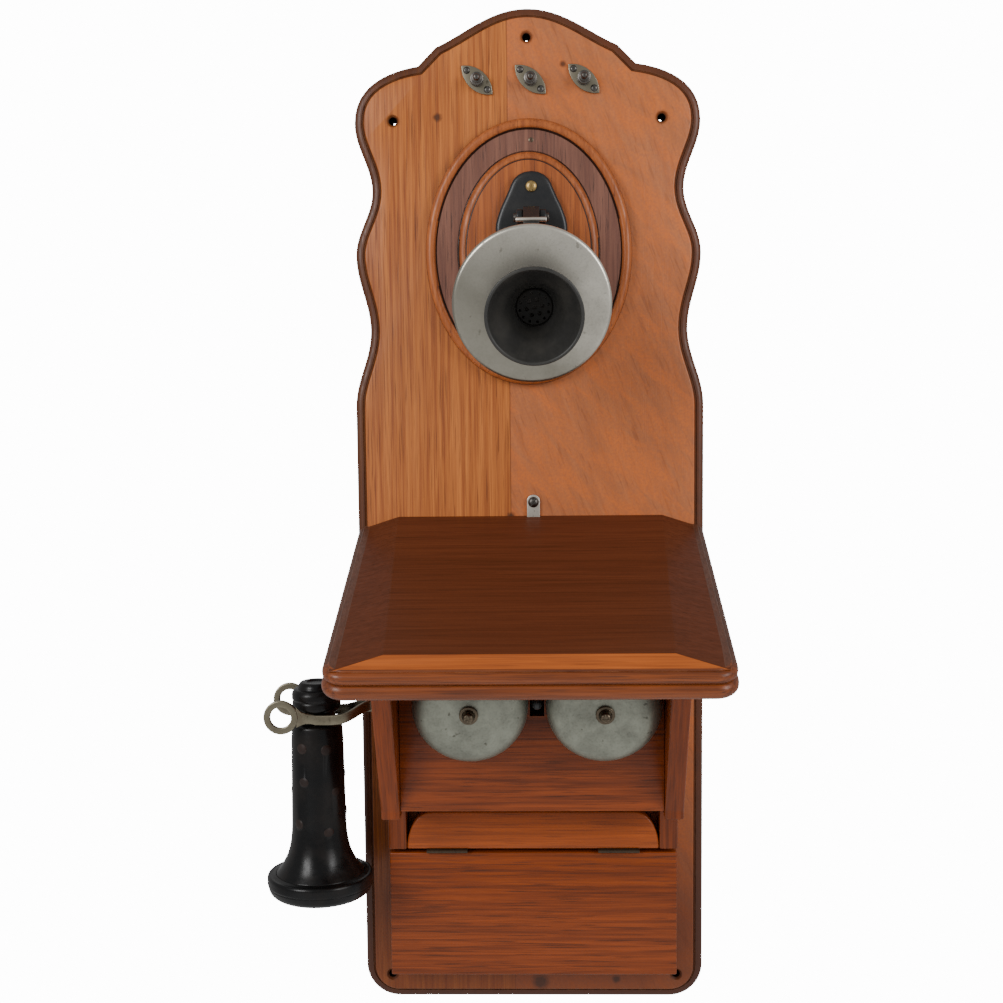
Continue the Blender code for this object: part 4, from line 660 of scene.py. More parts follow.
def metal(name, base, tarnish, cloud=45.0, amount=0.5, pits=0.3, metallic=1.0, bump=0.2, edge_colour=None, rough=0.0,
          painted_shade_span=None):
    """Tarnished metal; an optional pair of heights gives a painted shade that darkens it downwards between them."""
    material, tree, shader, vector = begin(name)
    patina = use(tree, "Metal Patina", Vector=vector, Base=base, Tarnish=tarnish, Cloud=cloud,
                 Amount=amount, Pits=pits)
    shade = patina.outputs["Color"]
    if painted_shade_span is not None:
        split = make(tree, "ShaderNodeSeparateXYZ", Vector=vector).outputs
        slant = calc(tree, "ADD", split["Z"], calc(tree, "MULTIPLY", split["X"], 0.9))
        # Painted shade: darker towards the bottom, standing in for the light falling brighter on the top.
        painted_shade = remap(tree, slant, *painted_shade_span)
        shade = mix(tree, calc(tree, "MULTIPLY", painted_shade, 0.75), shade, tarnish)
    if edge_colour is not None:
        edge = use(tree, "Sharp Edge Mask", Vector=vector, Radius=0.7 * MM, Breakup=200.0)
        shade = mix(tree, calc(tree, "MULTIPLY", edge.outputs[0], 0.7), shade, edge_colour)
    tree.links.new(shade, shader.inputs["Base Color"])
    tree.links.new(calc(tree, "ADD", patina.outputs["Roughness"], rough), shader.inputs["Roughness"])
    shader.inputs["Metallic"].default_value = metallic
    relief(tree, shader, patina.outputs["Height"], bump, 0.12 * MM)
    return material


def rubber(name, base, worn, gloss=0.2, specular=0.28):
    """Moulded hard rubber with faint brown bloom and hand polish."""
    material, tree, shader, vector = begin(name)
    bloom = remap(tree, noise(tree, vector, 55.0, 5, 0.6), 0.42, 0.75)
    shade = mix(tree, calc(tree, "MULTIPLY", bloom, 0.55), base, worn)
    edge = use(tree, "Sharp Edge Mask", Vector=vector, Radius=0.8 * MM, Breakup=90.0)
    shade = mix(tree, calc(tree, "MULTIPLY", edge.outputs[0], 0.25), shade, (0.04, 0.035, 0.03))
    tree.links.new(shade, shader.inputs["Base Color"])
    scuff = remap(tree, noise(tree, vector, 420.0, 3, 0.6), 0.3, 0.8)
    rough = calc(tree, "ADD", calc(tree, "MULTIPLY", bloom, 0.14), calc(tree, "MULTIPLY", scuff, 0.12))
    tree.links.new(calc(tree, "ADD", rough, gloss), shader.inputs["Roughness"])
    shader.inputs["Specular IOR Level"].default_value = specular
    relief(tree, shader, scuff, 0.12, 0.05 * MM)
    return material


def winding(name, base):
    """Cotton-covered wire laid side by side along the third axis."""
    material, tree, shader, vector = begin(name)
    wave = make(tree, "ShaderNodeTexWave", {"bands_direction": "Z"}, Vector=vector, Scale=300.0,
                Distortion=0.6, Detail=1.0)
    tone = remap(tree, noise(tree, vector, 90.0, 3), 0.3, 0.7)
    shade = mix(tree, calc(tree, "MULTIPLY", tone, 0.5), base, (0.10, 0.05, 0.02))
    shade = mix(tree, remap(tree, wave.outputs["Fac"], 0.5, 0.0, 0.0, 0.6), shade, (0.02, 0.01, 0.006))
    tree.links.new(shade, shader.inputs["Base Color"])
    tree.links.new(remap(tree, tone, 0.0, 1.0, 0.45, 0.7), shader.inputs["Roughness"])
    relief(tree, shader, wave.outputs["Fac"], 0.6, 0.2 * MM)
    return material


def make_materials(colours):
    wood_group()
    edge_group()
    spot_group()
    patina_group()
    upright = (330, 330, 8)
    across = (8, 330, 330)
    worn_edge = (0.34, 0.14, 0.06)
    board_material(colours)
    # Near-black colour painted into the plaque's creases as shade.
    groove_shade = (0.05, 0.018, 0.01)
    wood("Plaque Oak", (0.50, 0.14, 0.035), (0.20, 0.05, 0.016), (260, 260, 9), streak=0.8, edge_colour=(0.4, 0.2, 0.11))
    wood("Plaque Ring", colours.ring, (0.13, 0.055, 0.04), (260, 260, 12), streak=0.9, pores=0.75)
    wood("Groove Shade", groove_shade, (0.02, 0.008, 0.005), (260, 260, 12))
    wood("Panel Oak", colours.trim_light, colours.trim_dark, across, 0.9, 0.6, worn_edge)
    wood("Cheek Oak", colours.trim_light, colours.trim_dark, upright, 0.9, 0.6, worn_edge)
    wood("Cheek Front", (0.25, 0.046, 0.004), (0.075, 0.014, 0.002), (330, 16, 8), 0.8, 0.4, worn_edge)
    # Painted light: the rail gets a lighter copy of the cabinet oak, lifting the shade that falls on it below the
    # cabinet.
    wood("Lit Rail Oak", (0.42, 0.085, 0.011), (0.13, 0.026, 0.004), across, 0.7, 0.4, worn_edge)
    wood("Lid Top", colours.lid_top, (0.07, 0.019, 0.007), (7, 260, 260), 0.7, 0.3, coat=0, shine=0.1)
    wood("Lid Edge", colours.lid_edge, (0.09, 0.02, 0.005), across, 1.0, 0.5, worn_edge, 0.25)
    # The lighter edge colour on the lid rim is partly real wear and partly a painted highlight along the roll's
    # shoulder.
    wood("Lid Rim", (0.13, 0.045, 0.022), (0.06, 0.02, 0.01), (330, 12, 330), 0.7, 0.3, (0.42, 0.24, 0.15))
    # Lighter copy of the lid wood: painted light for the field's front bevel.
    wood("Lit Lid Bevel", (0.50, 0.12, 0.018), (0.24, 0.05, 0.008), across, 0.8, 0.3)
    metal("Nickel", colours.nickel, (0.20, 0.18, 0.13), 38.0, 0.55, 0.35, edge_colour=(0.75, 0.73, 0.66))
    # The faceplate's darkening towards the bottom is painted shade, standing in for light falling on its top.
    metal("Faceplate Nickel", (0.80, 0.76, 0.66), (0.17, 0.16, 0.125), 38.0, 0.5, 0.5, edge_colour=(0.75, 0.73, 0.66),
          painted_shade_span=(200 * MM, 125 * MM))
    metal("Strap Nickel", (0.80, 0.75, 0.66), (0.25, 0.22, 0.17), 90.0, 0.45, 0.6, edge_colour=(0.8, 0.78, 0.7))
    metal("Terminal Nickel", (0.30, 0.27, 0.20), (0.10, 0.08, 0.055), 90.0, 0.6, 0.5, edge_colour=(0.55, 0.5, 0.4))
    metal("Hook Nickel", (0.28, 0.25, 0.18), (0.09, 0.075, 0.05), 60.0, 0.6, 0.4, edge_colour=(0.6, 0.57, 0.48))
    metal("Gong Metal", colours.gong, (0.10, 0.10, 0.085), 60.0, 0.7, 0.45, 0.85, 0.5, rough=0.1)
    metal("Dark Bronze", (0.15, 0.12, 0.085), (0.04, 0.03, 0.022), 120.0, 0.7, 0.4, edge_colour=(0.3, 0.25, 0.18))
    metal("Hinge Bronze", (0.075, 0.05, 0.03), (0.025, 0.017, 0.012), 120.0, 0.7, 0.4, 0.6,
          edge_colour=(0.16, 0.11, 0.07))
    metal("Black Iron", (0.016, 0.017, 0.019), (0.04, 0.035, 0.03), 70.0, 0.4, 0.2, 0.2, 0.4, (0.10, 0.09, 0.08))
    metal("Brass", (0.52, 0.36, 0.14), (0.16, 0.09, 0.035), 90.0, 0.6, 0.3, edge_colour=(0.8, 0.62, 0.32))
    metal("Dark Steel", (0.13, 0.12, 0.11), (0.04, 0.033, 0.028), 80.0, 0.6, 0.4, edge_colour=(0.34, 0.32, 0.29))
    metal("Magnet Iron", (0.05, 0.05, 0.055), (0.09, 0.05, 0.03), 50.0, 0.5, 0.3, 0.5, 0.3, (0.2, 0.19, 0.17))
    rubber("Hard Rubber", colours.rubber, (0.018, 0.012, 0.009))
    rubber("Mouth Rubber", (0.022, 0.021, 0.019), (0.05, 0.045, 0.036), 0.36, 0.5)
    rubber("Grille Rubber", (0.006, 0.005, 0.004), (0.03, 0.02, 0.012), 0.45, 0.2)
    rubber("Rubber Stud", (0.018, 0.010, 0.008), (0.035, 0.018, 0.013), 0.4)
    # Near-black stand-in for the shade inside the mounting holes.
    rubber("Bore Shade", (0.006, 0.003, 0.002), (0.012, 0.006, 0.004), 0.6, 0.1)
    winding("Winding", (0.05, 0.12, 0.05))


def surface(name):
    return bpy.data.materials[name]


# ---------------------------------------------------------------- backboard and its fittings

def board_outline():
    """The fiddle-shaped board: a bump, a shoulder, two lobes, then straight sides."""
    lobe_1 = (WIDE - 2.8 * MM, TOP - 79 * MM)
    waist_1 = (WIDE - 14.7 * MM, TOP - 127 * MM)
    lobe_2 = (WIDE - 2.1 * MM, TOP - 173 * MM)
    waist_2 = (WIDE - 11.8 * MM, TOP - 227 * MM)
    straight = (WIDE, TOP - 283 * MM)
    notch = (WIDE - 49 * MM, TOP - 39 * MM)
    ear = (WIDE - 62 * MM, TOP - 26 * MM)
    spans = [
        ((0, TOP), (26 * MM, TOP), (44 * MM, TOP - 17 * MM), ear),
        (notch, (notch[0] + 20 * MM, notch[1] - 3 * MM), (lobe_1[0], lobe_1[1] + 28 * MM), lobe_1),
    ]
    for upper, lower in ((lobe_1, waist_1), (waist_1, lobe_2), (lobe_2, waist_2), (waist_2, straight)):
        reach = (upper[1] - lower[1]) * 0.364
        spans.append((upper, (upper[0], upper[1] - reach), (lower[0], lower[1] + reach), lower))
    points = []
    for span in spans:
        knots = [Vector((*knot, 0)) for knot in span]
        points.extend((point.x, point.y) for point in interpolate_bezier(*knots, 13))
    distinct = [points[0]]
    for point in points[1:]:
        if math.dist(point, distinct[-1]) > 0.4 * MM:
            distinct.append(point)
    corner = 25 * MM
    distinct.extend(arc((WIDE - corner, BOTTOM + corner), corner, 0, -90, 12))
    return mirrored(distinct)


class TELEPHONE_OT_backboard(bpy.types.Operator):
    """Shaped backboard with an ogee edge and countersunk mounting holes"""
    bl_idname = "telephone.backboard"
    bl_label = "Backboard"

    def execute(self, context):
        ovolo = [(0.3, 0.9), (0.8, 1.0), (1.3, 0.8), (1.5, 0.4), (1.2, 0.1)]
        quirk = [(0.5, -0.5), (0.4, 0.2), (0.6, 0.9), (0.5, 1.0), (0.2, 1.2), (0.3, 0.3), (0.6, 0.2)]
        rise = sum(step[1] for step in ovolo + quirk) * MM
        shift = FORWARD * (BOARD_THICK - rise)
        board = slab("wood_backboard", in_front(board_outline(), -BOARD_THICK), shift, ovolo + quirk)
        for x, z in MOUNT_HOLES:
            sink = eased([(0, 2, 0), (5.2, 2, 0), (4.6, 0, 0), (2.7, -2, 0.5), (2.5, -9, 0), (1.3, -9.4, 0),
                          (1.3, -24, 0), (0, -24, 0)])
            carve(board, lathe("sink", sink, along(at(x * MM, 0, z * MM), FORWARD), 28))
        carve(board, rod("catch", at(STRAP_X, -14 * MM, CATCH_Z), at(STRAP_X, MM, CATCH_Z), 3.4 * MM, 28))
        dress(board, "wall_board", "oak_board", surface("Board Oak"), "backboard")

        def in_bore(centre):
            near = min(math.dist((centre.x, centre.z), (x * MM, z * MM)) for x, z in MOUNT_HOLES)
            return near < 2.9 * MM and centre.y > -BOARD_THICK + 1.2 * MM

        # Painted shade: the faces down inside each mounting hole get a near-black material, standing in for the shade
        # in the hole.
        paint(board, surface("Bore Shade"), lambda centre, normal: in_bore(centre))
        return {"FINISHED"}


class TELEPHONE_OT_plaque(bpy.types.Operator):
    """Oval plaque with a rolled rim, a flat ring and a raised field"""
    bl_idname = "telephone.plaque"
    bl_label = "Oval Plaque"

    def execute(self, context):
        low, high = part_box("oval_plaque")
        half_width = (high.x - low.x) / 2
        half_height = (high.z - low.z) / 2
        outline = []
        for index in range(96):
            angle = math.tau * index / 96
            outline.append((PLAQUE_MID[0] + half_width * math.cos(angle),
                            PLAQUE_MID[1] + half_height * math.sin(angle)))
        rim = [(0.3, 1.2), (0.8, 1.2), (1.4, 1.0), (1.7, 0.4), (1.4, -0.3), (1.0, -0.9), (0.5, -1.1), (0.5, -0.5)]
        ring = [(0.5, 0.4), (14.6, 0.2), (0.4, -0.5), (0.3, 0.1)]
        step = [(0.3, 0.9), (0.7, 1.2), (1.2, 1.1), (1.6, 0.7), (1.0, 0.1), (0.6, -0.5), (0.4, 0.1), (0.5, 0.1)]
        rise = sum(move[1] for move in rim + ring + step)
        plaque = slab("wood_plaque", in_front(outline, 0.3 * MM), FORWARD * (9 - rise) * MM, rim + ring + step)
        dress(plaque, "wall_board", "oak_board", surface("Plaque Oak"), "oval_plaque")

        def inside(centre, inset):
            across = (centre.x - PLAQUE_MID[0]) / (half_width - inset * MM)
            up = (centre.z - PLAQUE_MID[1]) / (half_height - inset * MM)
            return across ** 2 + up ** 2 < 1

        paint(plaque, surface("Plaque Ring"),
              lambda centre, normal: inside(centre, 8) and not inside(centre, 23.5))
        # Painted shade: near-black bands in the plaque's creases and round its outer edge, where it meets the board.
        paint(plaque, surface("Groove Shade"),
              lambda centre, normal: any(inside(centre, near) and not inside(centre, far)
                                         for near, far in ((-1, 0.4), (6.9, 8.3), (23.1, 24.1), (29, 30.6))))
        screw = slotted_head("ring_screw", 2.1 * MM, 0.7 * MM, along(at(*RING_SCREW), FORWARD), 1.4)
        finish_in(screw, surface("Dark Bronze"))
        gather(plaque, screw)
        return {"FINISHED"}


class TELEPHONE_OT_terminals(bpy.types.Operator):
    """Three line terminals: a lozenge plate with two screws and a knurled binding post each"""
    bl_idname = "telephone.terminals"
    bl_label = "Line Terminals"

    def execute(self, context):
        sizes = context.scene.telephone_sizes
        x, z = TERMINAL_MID
        reach = 15 * MM
        radius = (reach ** 2 + (7 * MM) ** 2) / (14 * MM)
        half_angle = math.degrees(math.asin(reach / radius))
        upper = arc((0, 7 * MM - radius), radius, 90 - half_angle, 90 + half_angle, 14)
        shape = upper[:-1] + [(-a, -b) for a, b in upper[:-1]]
        shape = shifted(turned_points(shape, TERMINAL_TURN), x, z)
        plate = slab("terminal_base_1", in_front(shape, 0.3 * MM), FORWARD * 1.5 * MM)
        ease(plate, sizes.plate_edge, 3, 60)
        heads = []
        for end in (-1, 1):
            centre = at(x + end * 10 * MM * math.cos(TERMINAL_TURN), 1.6 * MM,
                        z + end * 10 * MM * math.sin(TERMINAL_TURN))
            heads.append(slotted_head("screw", 2.6 * MM, 1.45 * MM, along(centre, FORWARD), 0.6 + end))
        dress(plate, "wall_board", "dull_nickel", surface("Terminal Nickel"))
        paint(gather(plate, *heads), surface("Dark Steel"),
              lambda centre, normal: centre.y < -BOARD_THICK - 1.82 * MM)
        base = 2.1
        profile = eased([(0, base + 13, 0), (1.6, base + 12.8, 0.8), (2.2, base + 11.8, 0), (2.2, base + 7.6, 0),
                         (3.4, base + 7.4, 0.4), (3.6, base + 6.6, 0), (3.4, base + 1.6, 0), (4.9, base + 1.4, 0.3),
                         (4.9, base, 0), (0, base, 0)])
        post = lathe("terminal_nut_1", profile, along(at(x, 0, z), FORWARD), 40)
        teeth = []
        for index in range(48):
            ridge = (4.75 if index % 2 else 4.4) * MM
            angle = math.tau * index / 48
            teeth.append((x + ridge * math.cos(angle), z + ridge * math.sin(angle)))
        nut = slab("nut", in_front(teeth, 4.2 * MM), FORWARD * 4.2 * MM, [(0.5, 0.3)])
        gather(post, nut)
        dress(post, "wall_board", "dark_steel", surface("Dark Steel"))
        for index, side in ((2, 0), (3, 1)):
            for source, stem in ((plate, "terminal_base_"), (post, "terminal_nut_")):
                other = twin(source, f"{stem}{index}", Matrix.Translation((side * TERMINAL_GAP, 0, 0)))
                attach(other, "wall_board")
        for source in (plate, post):
            place(source, Matrix.Translation((-TERMINAL_GAP, 0, 0)))
        for index in (1, 2, 3):
            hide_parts(f"terminal_plate_{index}")
            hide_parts(f"terminal_post_{index}")
        return {"FINISHED"}


class TELEPHONE_OT_bracket(bpy.types.Operator):
    """Cast bracket with two ears, its screw and the tilt pin"""
    bl_idname = "telephone.bracket"
    bl_label = "Transmitter Bracket"

    def execute(self, context):
        half = [(0, 249), (5, 248.3), (9, 246.4), (12.2, 243.5), (14.2, 240), (15.6, 236.5), (17.2, 233), (19, 229),
                (21, 225), (22.6, 221), (24.2, 216.5), (25.3, 212), (25.6, 208), (24.6, 203), (22, 196), (19.5, 186),
                (18, 172)]
        half = [(x * MM, z * MM) for x, z in half]
        base = 9.6 * MM
        outline = in_front(shifted(mirrored(half), BRACKET_X, 0), base)
        steps = [(0.25, 0.9), (0.5, 0.7), (0.9, 0.55), (1.1, 0.25), (1.4, 0.1)]
        rise = sum(step[1] for step in steps) * MM
        plate = slab("bracket_casting", outline, FORWARD * (6 * MM - rise), steps)
        for side in (-1, 1):
            ear = arc(TILT, 5.6 * MM, -90, 90, 14) + [(13 * MM, 222.5 * MM), (13 * MM, 200 * MM)]
            near = BRACKET_X + side * 5.8 * MM
            arm = slab("ear", at_side(ear, near), Vector((side * 4.5 * MM, 0, 0)))
            unite(plate, ease(arm, 0.9 * MM, 3, 40))
        start = at(BRACKET_X - 12.3 * MM, *TILT)
        end = at(BRACKET_X + 12.3 * MM, *TILT)
        dress(plate, "wall_board", "black_iron", surface("Black Iron"), "transmitter_bracket")
        pin = ease(rod("tilt_pivot_pin", start, end, 3 * MM, 36), 0.6 * MM, 3, 40)
        dress(pin, "wall_board", "dull_nickel", surface("Dark Steel"), "tilt_pin")
        seat = along(at(BRACKET_X, 15.9 * MM, 238 * MM), FORWARD)
        head = slotted_head("bracket_screw_head", 4 * MM, 2 * MM, seat, math.pi / 2)
        dress(head, "wall_board", "brass", surface("Brass"), "bracket_screw")
        return {"FINISHED"}


# ---------------------------------------------------------------- transmitter

def transmitter_place():
    axis = Vector((0, -math.cos(NOD), -math.sin(NOD)))
    return along(at(*TRANSMITTER_MID), axis)


class TELEPHONE_OT_transmitter(bpy.types.Operator):
    """Nickel faceplate, black cup with its tilting lug, flared mouthpiece and pierced grille"""
    bl_idname = "telephone.transmitter"
    bl_label = "Transmitter"

    def execute(self, context):
        middle = transmitter_place()
        plate = eased([
            (15.3, 2.3, 0.3), (32, 2.0, 8), (47, 0.9, 6), (50.7, 0.5, 1.2), (52, -1.0, 1.0), (52, -3.5, 0.4),
            (50.4, -3.5, 0.4), (50.4, -1.5, 0.6), (47, -0.7, 3), (32, 0.4, 4), (15.3, 0.7, 0.3),
        ], 6, True)
        left = Matrix.Translation((-FACE_SHIFT, 0, 0)) @ middle
        right = Matrix.Translation((FACE_SHIFT, 0, 0)) @ middle
        dress(lathe("nickel_faceplate", plate, left, 96, True), "transmitter", "dull_nickel",
              surface("Faceplate Nickel"), "faceplate")
        cup = eased([
            (0, -39, 0), (9, -39, 0), (24, -37.2, 4), (35, -28.5, 5), (38, -18.9, 4), (38, -1.9, 0), (41, -1.9, 0.8),
            (41, -18.9, 6), (38, -31.5, 7), (27, -40.3, 6), (12, -42, 3), (0, -42, 0),
        ], 6)
        housing = lathe("transmitter_shell", cup, middle, 72)
        top = Vector((84 * MM, 189 * MM))
        pin = Vector(TILT)
        run = (top - pin).normalized()
        turn = math.degrees(math.atan2(run.y, run.x))
        side_step = Vector((-run.y, run.x)) * 9 * MM
        shape = arc(pin, 7.5 * MM, turn + 90, turn + 270, 14) + [tuple(top - side_step), tuple(top + side_step)]
        lug = slab("lug", at_side(shape, BRACKET_X - 5.5 * MM), Vector((11 * MM, 0, 0)))
        hollow = eased([
            (0, -0.9, 0), (39.5, -0.9, 0), (39.5, -18.9, 3), (36.5, -30, 4), (20, -37.8, 0), (0, -37.8, 0)])
        carve(lug, lathe("hollow", hollow, middle, 48))
        unite(housing, ease(lug, 0.8 * MM, 2, 50))
        reach = Vector((9 * MM, 0, 0))
        centre = at(BRACKET_X, *TILT)
        carve(housing, rod("bore", centre - reach, centre + reach, 3.15 * MM))
        bolt = rod("bolt", at(BRACKET_X - 10.5 * MM, *LUG_BOLT), at(BRACKET_X + 10.5 * MM, *LUG_BOLT), LUG_BOLT_R, 24)
        ease(bolt, 0.4 * MM, 2, 40)
        dress(unite(housing, bolt), "transmitter", "black_iron", surface("Black Iron"), "transmitter_cup")
        paint(housing, surface("Strap Nickel"),
              lambda centre, normal: math.dist((-centre.y - BOARD_THICK, centre.z), LUG_BOLT) < LUG_BOLT_R + 0.2 * MM)
        mouth = eased([
            (29.6, 37, 1.0), (31.5, 36.6, 0.8), (31.5, 34.4, 0.8), (27, 28, 6), (21.4, 19.2, 6), (17.6, 11, 5),
            (16, 3, 1), (16, 0.5, 0), (13, 0.5, 0), (13, -1.6, 0), (10.8, -1.6, 0), (10.8, 6, 0), (12.7, 6, 0),
            (12.7, 8, 0.5), (15.6, 12.6, 4), (19.2, 20.4, 5), (24.6, 28.6, 5),
        ], 6, True)
        dress(lathe("rubber_mouthpiece", mouth, right, 80, True), "transmitter", "hard_rubber",
              surface("Mouth Rubber"), "mouthpiece")
        rim = eased([(0, 7.7, 0), (11.4, 7.7, 0.6), (12.3, 7, 0.3), (12.3, 6.3, 0), (0, 6.3, 0)])
        disc = lathe("pierced_grille", rim, sides=48)
        for ring, count, hole in ((0, 1, 1.5), (5.2, 6, 1.5), (9.6, 12, 0.95)):
            for index in range(count):
                angle = math.tau * index / count + 0.2
                spot = Vector((ring * MM * math.cos(angle), ring * MM * math.sin(angle), 0))
                low, high = (spot + Vector((0, 0, height * MM)) for height in (5, 9))
                carve(disc, rod("drill", low, high, hole * MM, 14))
        dress(place(disc, right), "transmitter", "hard_rubber", surface("Grille Rubber"), "mouth_grille")
        return {"FINISHED"}


# ---------------------------------------------------------------- cabinet

def lid_outline(inset, corner, back):
    """Half-rounded desk outline in the lid's own plane, in metres, its depth running to -Y."""
    far = -LID_DEPTH / math.cos(LID_SLOPE) + inset
    wide = WIDE - inset
    half = [(wide, back)] + arc((wide - corner, far + corner), corner, 0, -90, 10)
    return [(x, y) for x, y in half] + [(-x, y) for x, y in reversed(half)]


def tier(name, inset, low, high, corner, rounding, segments):
    """One rounded layer of the lid's edge, in the lid's own plane."""
    outline = [Vector((x, y, low * MM)) for x, y in lid_outline(inset * MM, corner * MM, 14 * MM)]
    layer = slab(name, outline, Vector((0, 0, (high - low) * MM)))
    return ease(layer, rounding * MM, segments, 60)


class TELEPHONE_OT_desk_lid(bpy.types.Operator):
    """Sloping desk lid: two stacked rolls round its edge and a raised, hipped writing field"""
    bl_idname = "telephone.desk_lid"
    bl_label = "Desk Lid"

    def execute(self, context):
        lid = tier("wood_desk_lid", 0, -20, -9.2, 15, 5.0, 8)
        unite(lid, tier("roll", 0.9, -9.6, -1.4, 14.4, 3.6, 7))
        unite(lid, tier("fillet", 4.6, -3, 0, 11, 0.9, 3))
        edge = -LID_DEPTH / MM / math.cos(LID_SLOPE) + 5
        foot = [(121.7, 14), (121.3, edge), (-121.3, edge), (-121.7, 14)]
        field = slab("field", [Vector((x * MM, y * MM, -MM)) for x, y in foot], Vector((0, 0, 7.6 * MM)))
        edit(field)
        bpy.ops.mesh.select_all(action="DESELECT")
        leave()
        for vertex in field.data.vertices:
            if vertex.co.z > 0:
                near = vertex.co.y > 0
                vertex.co.x = math.copysign((97 if near else 88) * MM, vertex.co.x)
                vertex.co.y += 0 if near else 7.5 * MM
        ease(field, 0.7 * MM, 2, 12)
        unite(lid, field)
        place(lid, Matrix.Translation(at(0, 0, LID_TOP_Z)) @ Matrix.Rotation(LID_SLOPE, 4, "X"))
        behind = box("behind", (-0.3, -0.2, -0.2), (0.3, 0.5 * MM, 0.2))
        slot = box("slot", (STRAP_X - 5.35 * MM, -MM, -16.6 * MM), (STRAP_X + 5.35 * MM, 2.6 * MM, 20 * MM))
        carve(lid, behind, slot)
        dress(lid, "cabinet", "mahogany_lid", surface("Lid Edge"), "desk_lid")
        up = Vector((0, -math.sin(LID_SLOPE), math.cos(LID_SLOPE)))

        def on_field(centre):
            return (centre - at(0, 0, LID_TOP_Z)).dot(up) > LID_FIELD_RISE

        paint(lid, surface("Lid Top"), lambda centre, normal: on_field(centre) and normal.dot(up) > 0.82)
        paint(lid, surface("Lid Rim"),
              lambda centre, normal: not on_field(centre) and normal.dot(up) > 0
              and abs(centre.x) > WIDE - 15 * MM and centre.y > -0.206)
        # Painted light: the forward-facing bevel of the raised field gets a lighter copy of the lid wood, standing in
        # for the light it catches.
        paint(lid, surface("Lit Lid Bevel"),
              lambda centre, normal: on_field(centre) and normal.dot(up) < 0.88 and normal.y < -0.5)
        return {"FINISHED"}


def under_lid(depth):
    """Height just below the lid at a depth."""
    return LID_TOP_Z - depth * math.tan(LID_SLOPE) - LID_THICK / math.cos(LID_SLOPE) - 0.3 * MM


class TELEPHONE_OT_cabinet(bpy.types.Operator):
    """Cheeks, gong panel and bottom rail of the cabinet"""
    bl_idname = "telephone.cabinet"
    bl_label = "Cabinet"

    def execute(self, context):
        rounding = context.scene.telephone_sizes.wood_edge
        outline = [(0.5 * MM, under_lid(0.5 * MM)), (137 * MM, under_lid(137 * MM)), (67 * MM, -199 * MM),
                   (67 * MM, -205 * MM), (23 * MM, -205 * MM), (23 * MM, -241.2 * MM), (0.5 * MM, -241.2 * MM)]
        for side, name in ((-1, "left"), (1, "right")):
            inner = side * 92.7 * MM
            cheek = slab("wood_cheek_" + name, at_side(outline, inner), Vector((side * 13.3 * MM, 0, 0)))
            ease(cheek, rounding, 3, 20)
            if side < 0:
                carve(cheek, box("slot", (-0.108, 39 * MM, -134 * MM), (-0.091, 45 * MM, -117 * MM)))
            else:
                carve(cheek, rod("drill", at(0.091, *CRANK), at(0.108, *CRANK), 6.8 * MM))
            dress(cheek, "cabinet", "oak_trim", surface("Cheek Oak"), "cheek_" + name)
            paint(cheek, surface("Cheek Front"), lambda centre, normal: normal.y < -0.5)
        low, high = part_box("gong_panel")
        panel = ease(box("wood_gong_panel", (low.x, 58 * MM, low.z), (high.x, 66 * MM, high.z)), 0.5 * MM, 2)
        carve(panel, box("slot", (-MM, 57 * MM, -131 * MM), (9 * MM, 67 * MM, -107 * MM)))
        dress(panel, "cabinet", "oak_trim", surface("Panel Oak"), "gong_panel")
        half = high.x
        ear = [(half - 18 * MM + 18 * MM * math.sin(math.radians(step * 7.5)),
                -241.2 * MM + 28 * MM * math.cos(math.radians(step * 7.5))) for step in range(13)]
        rail = slab("wood_bottom_rail", in_front(mirrored([(0, -213.2 * MM)] + ear + [(0, -241.2 * MM)]), 12 * MM),
                    FORWARD * 10 * MM)
        dress(ease(rail, 1.3 * MM, 3, 60), "cabinet", "oak_trim", surface("Lit Rail Oak"), "bottom_rail")
        return {"FINISHED"}


class TELEPHONE_OT_lower_panel(bpy.types.Operator):
    """Thick horizontal-grained panel below the cabinet"""
    bl_idname = "telephone.lower_panel"
    bl_label = "Lower Panel"

    def execute(self, context):
        low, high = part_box("lower_panel")
        panel = box("wood_lower_panel", (low.x, 0.3 * MM, low.z), (high.x, 20 * MM, high.z))
        dress(ease(panel, 1.2 * MM, 3), "wall_board", "oak_trim", surface("Panel Oak"), "lower_panel")
        return {"FINISHED"}


class TELEPHONE_OT_catch(bpy.types.Operator):
    """Nickel catch strap behind the lid and its slotted screw"""
    bl_idname = "telephone.catch"
    bl_label = "Catch Strap"

    def execute(self, context):
        outline = arc((STRAP_X, 13.25 * MM), 4.75 * MM, 0, 180, 18)
        outline += [(STRAP_X - 4.75 * MM, -16 * MM), (STRAP_X + 4.75 * MM, -16 * MM)]
        strap = slab("nickel_catch_strap", in_front(outline, 0.5 * MM), FORWARD * 1.5 * MM)
        ease(strap, context.scene.telephone_sizes.plate_edge, 3, 60)
        carve(strap, rod("hole", at(STRAP_X, 0, CATCH_Z), at(STRAP_X, 3 * MM, CATCH_Z), 2 * MM))
        dress(strap, "cabinet", "dull_nickel", surface("Strap Nickel"), "catch_strap")
        seat = along(at(STRAP_X, 2.3 * MM, CATCH_Z), FORWARD)
        head = slotted_head("catch_screw_head", 3.9 * MM, 2.5 * MM, seat, 0.9)
        shank = rod("shank", at(STRAP_X, -11.5 * MM, CATCH_Z), at(STRAP_X, 2.5 * MM, CATCH_Z), 1.7 * MM)
        ease(shank, 0.5 * MM, 2)
        dress(unite(head, shank), "cabinet", "dark_steel", surface("Dark Steel"), "catch_screw")
        return {"FINISHED"}


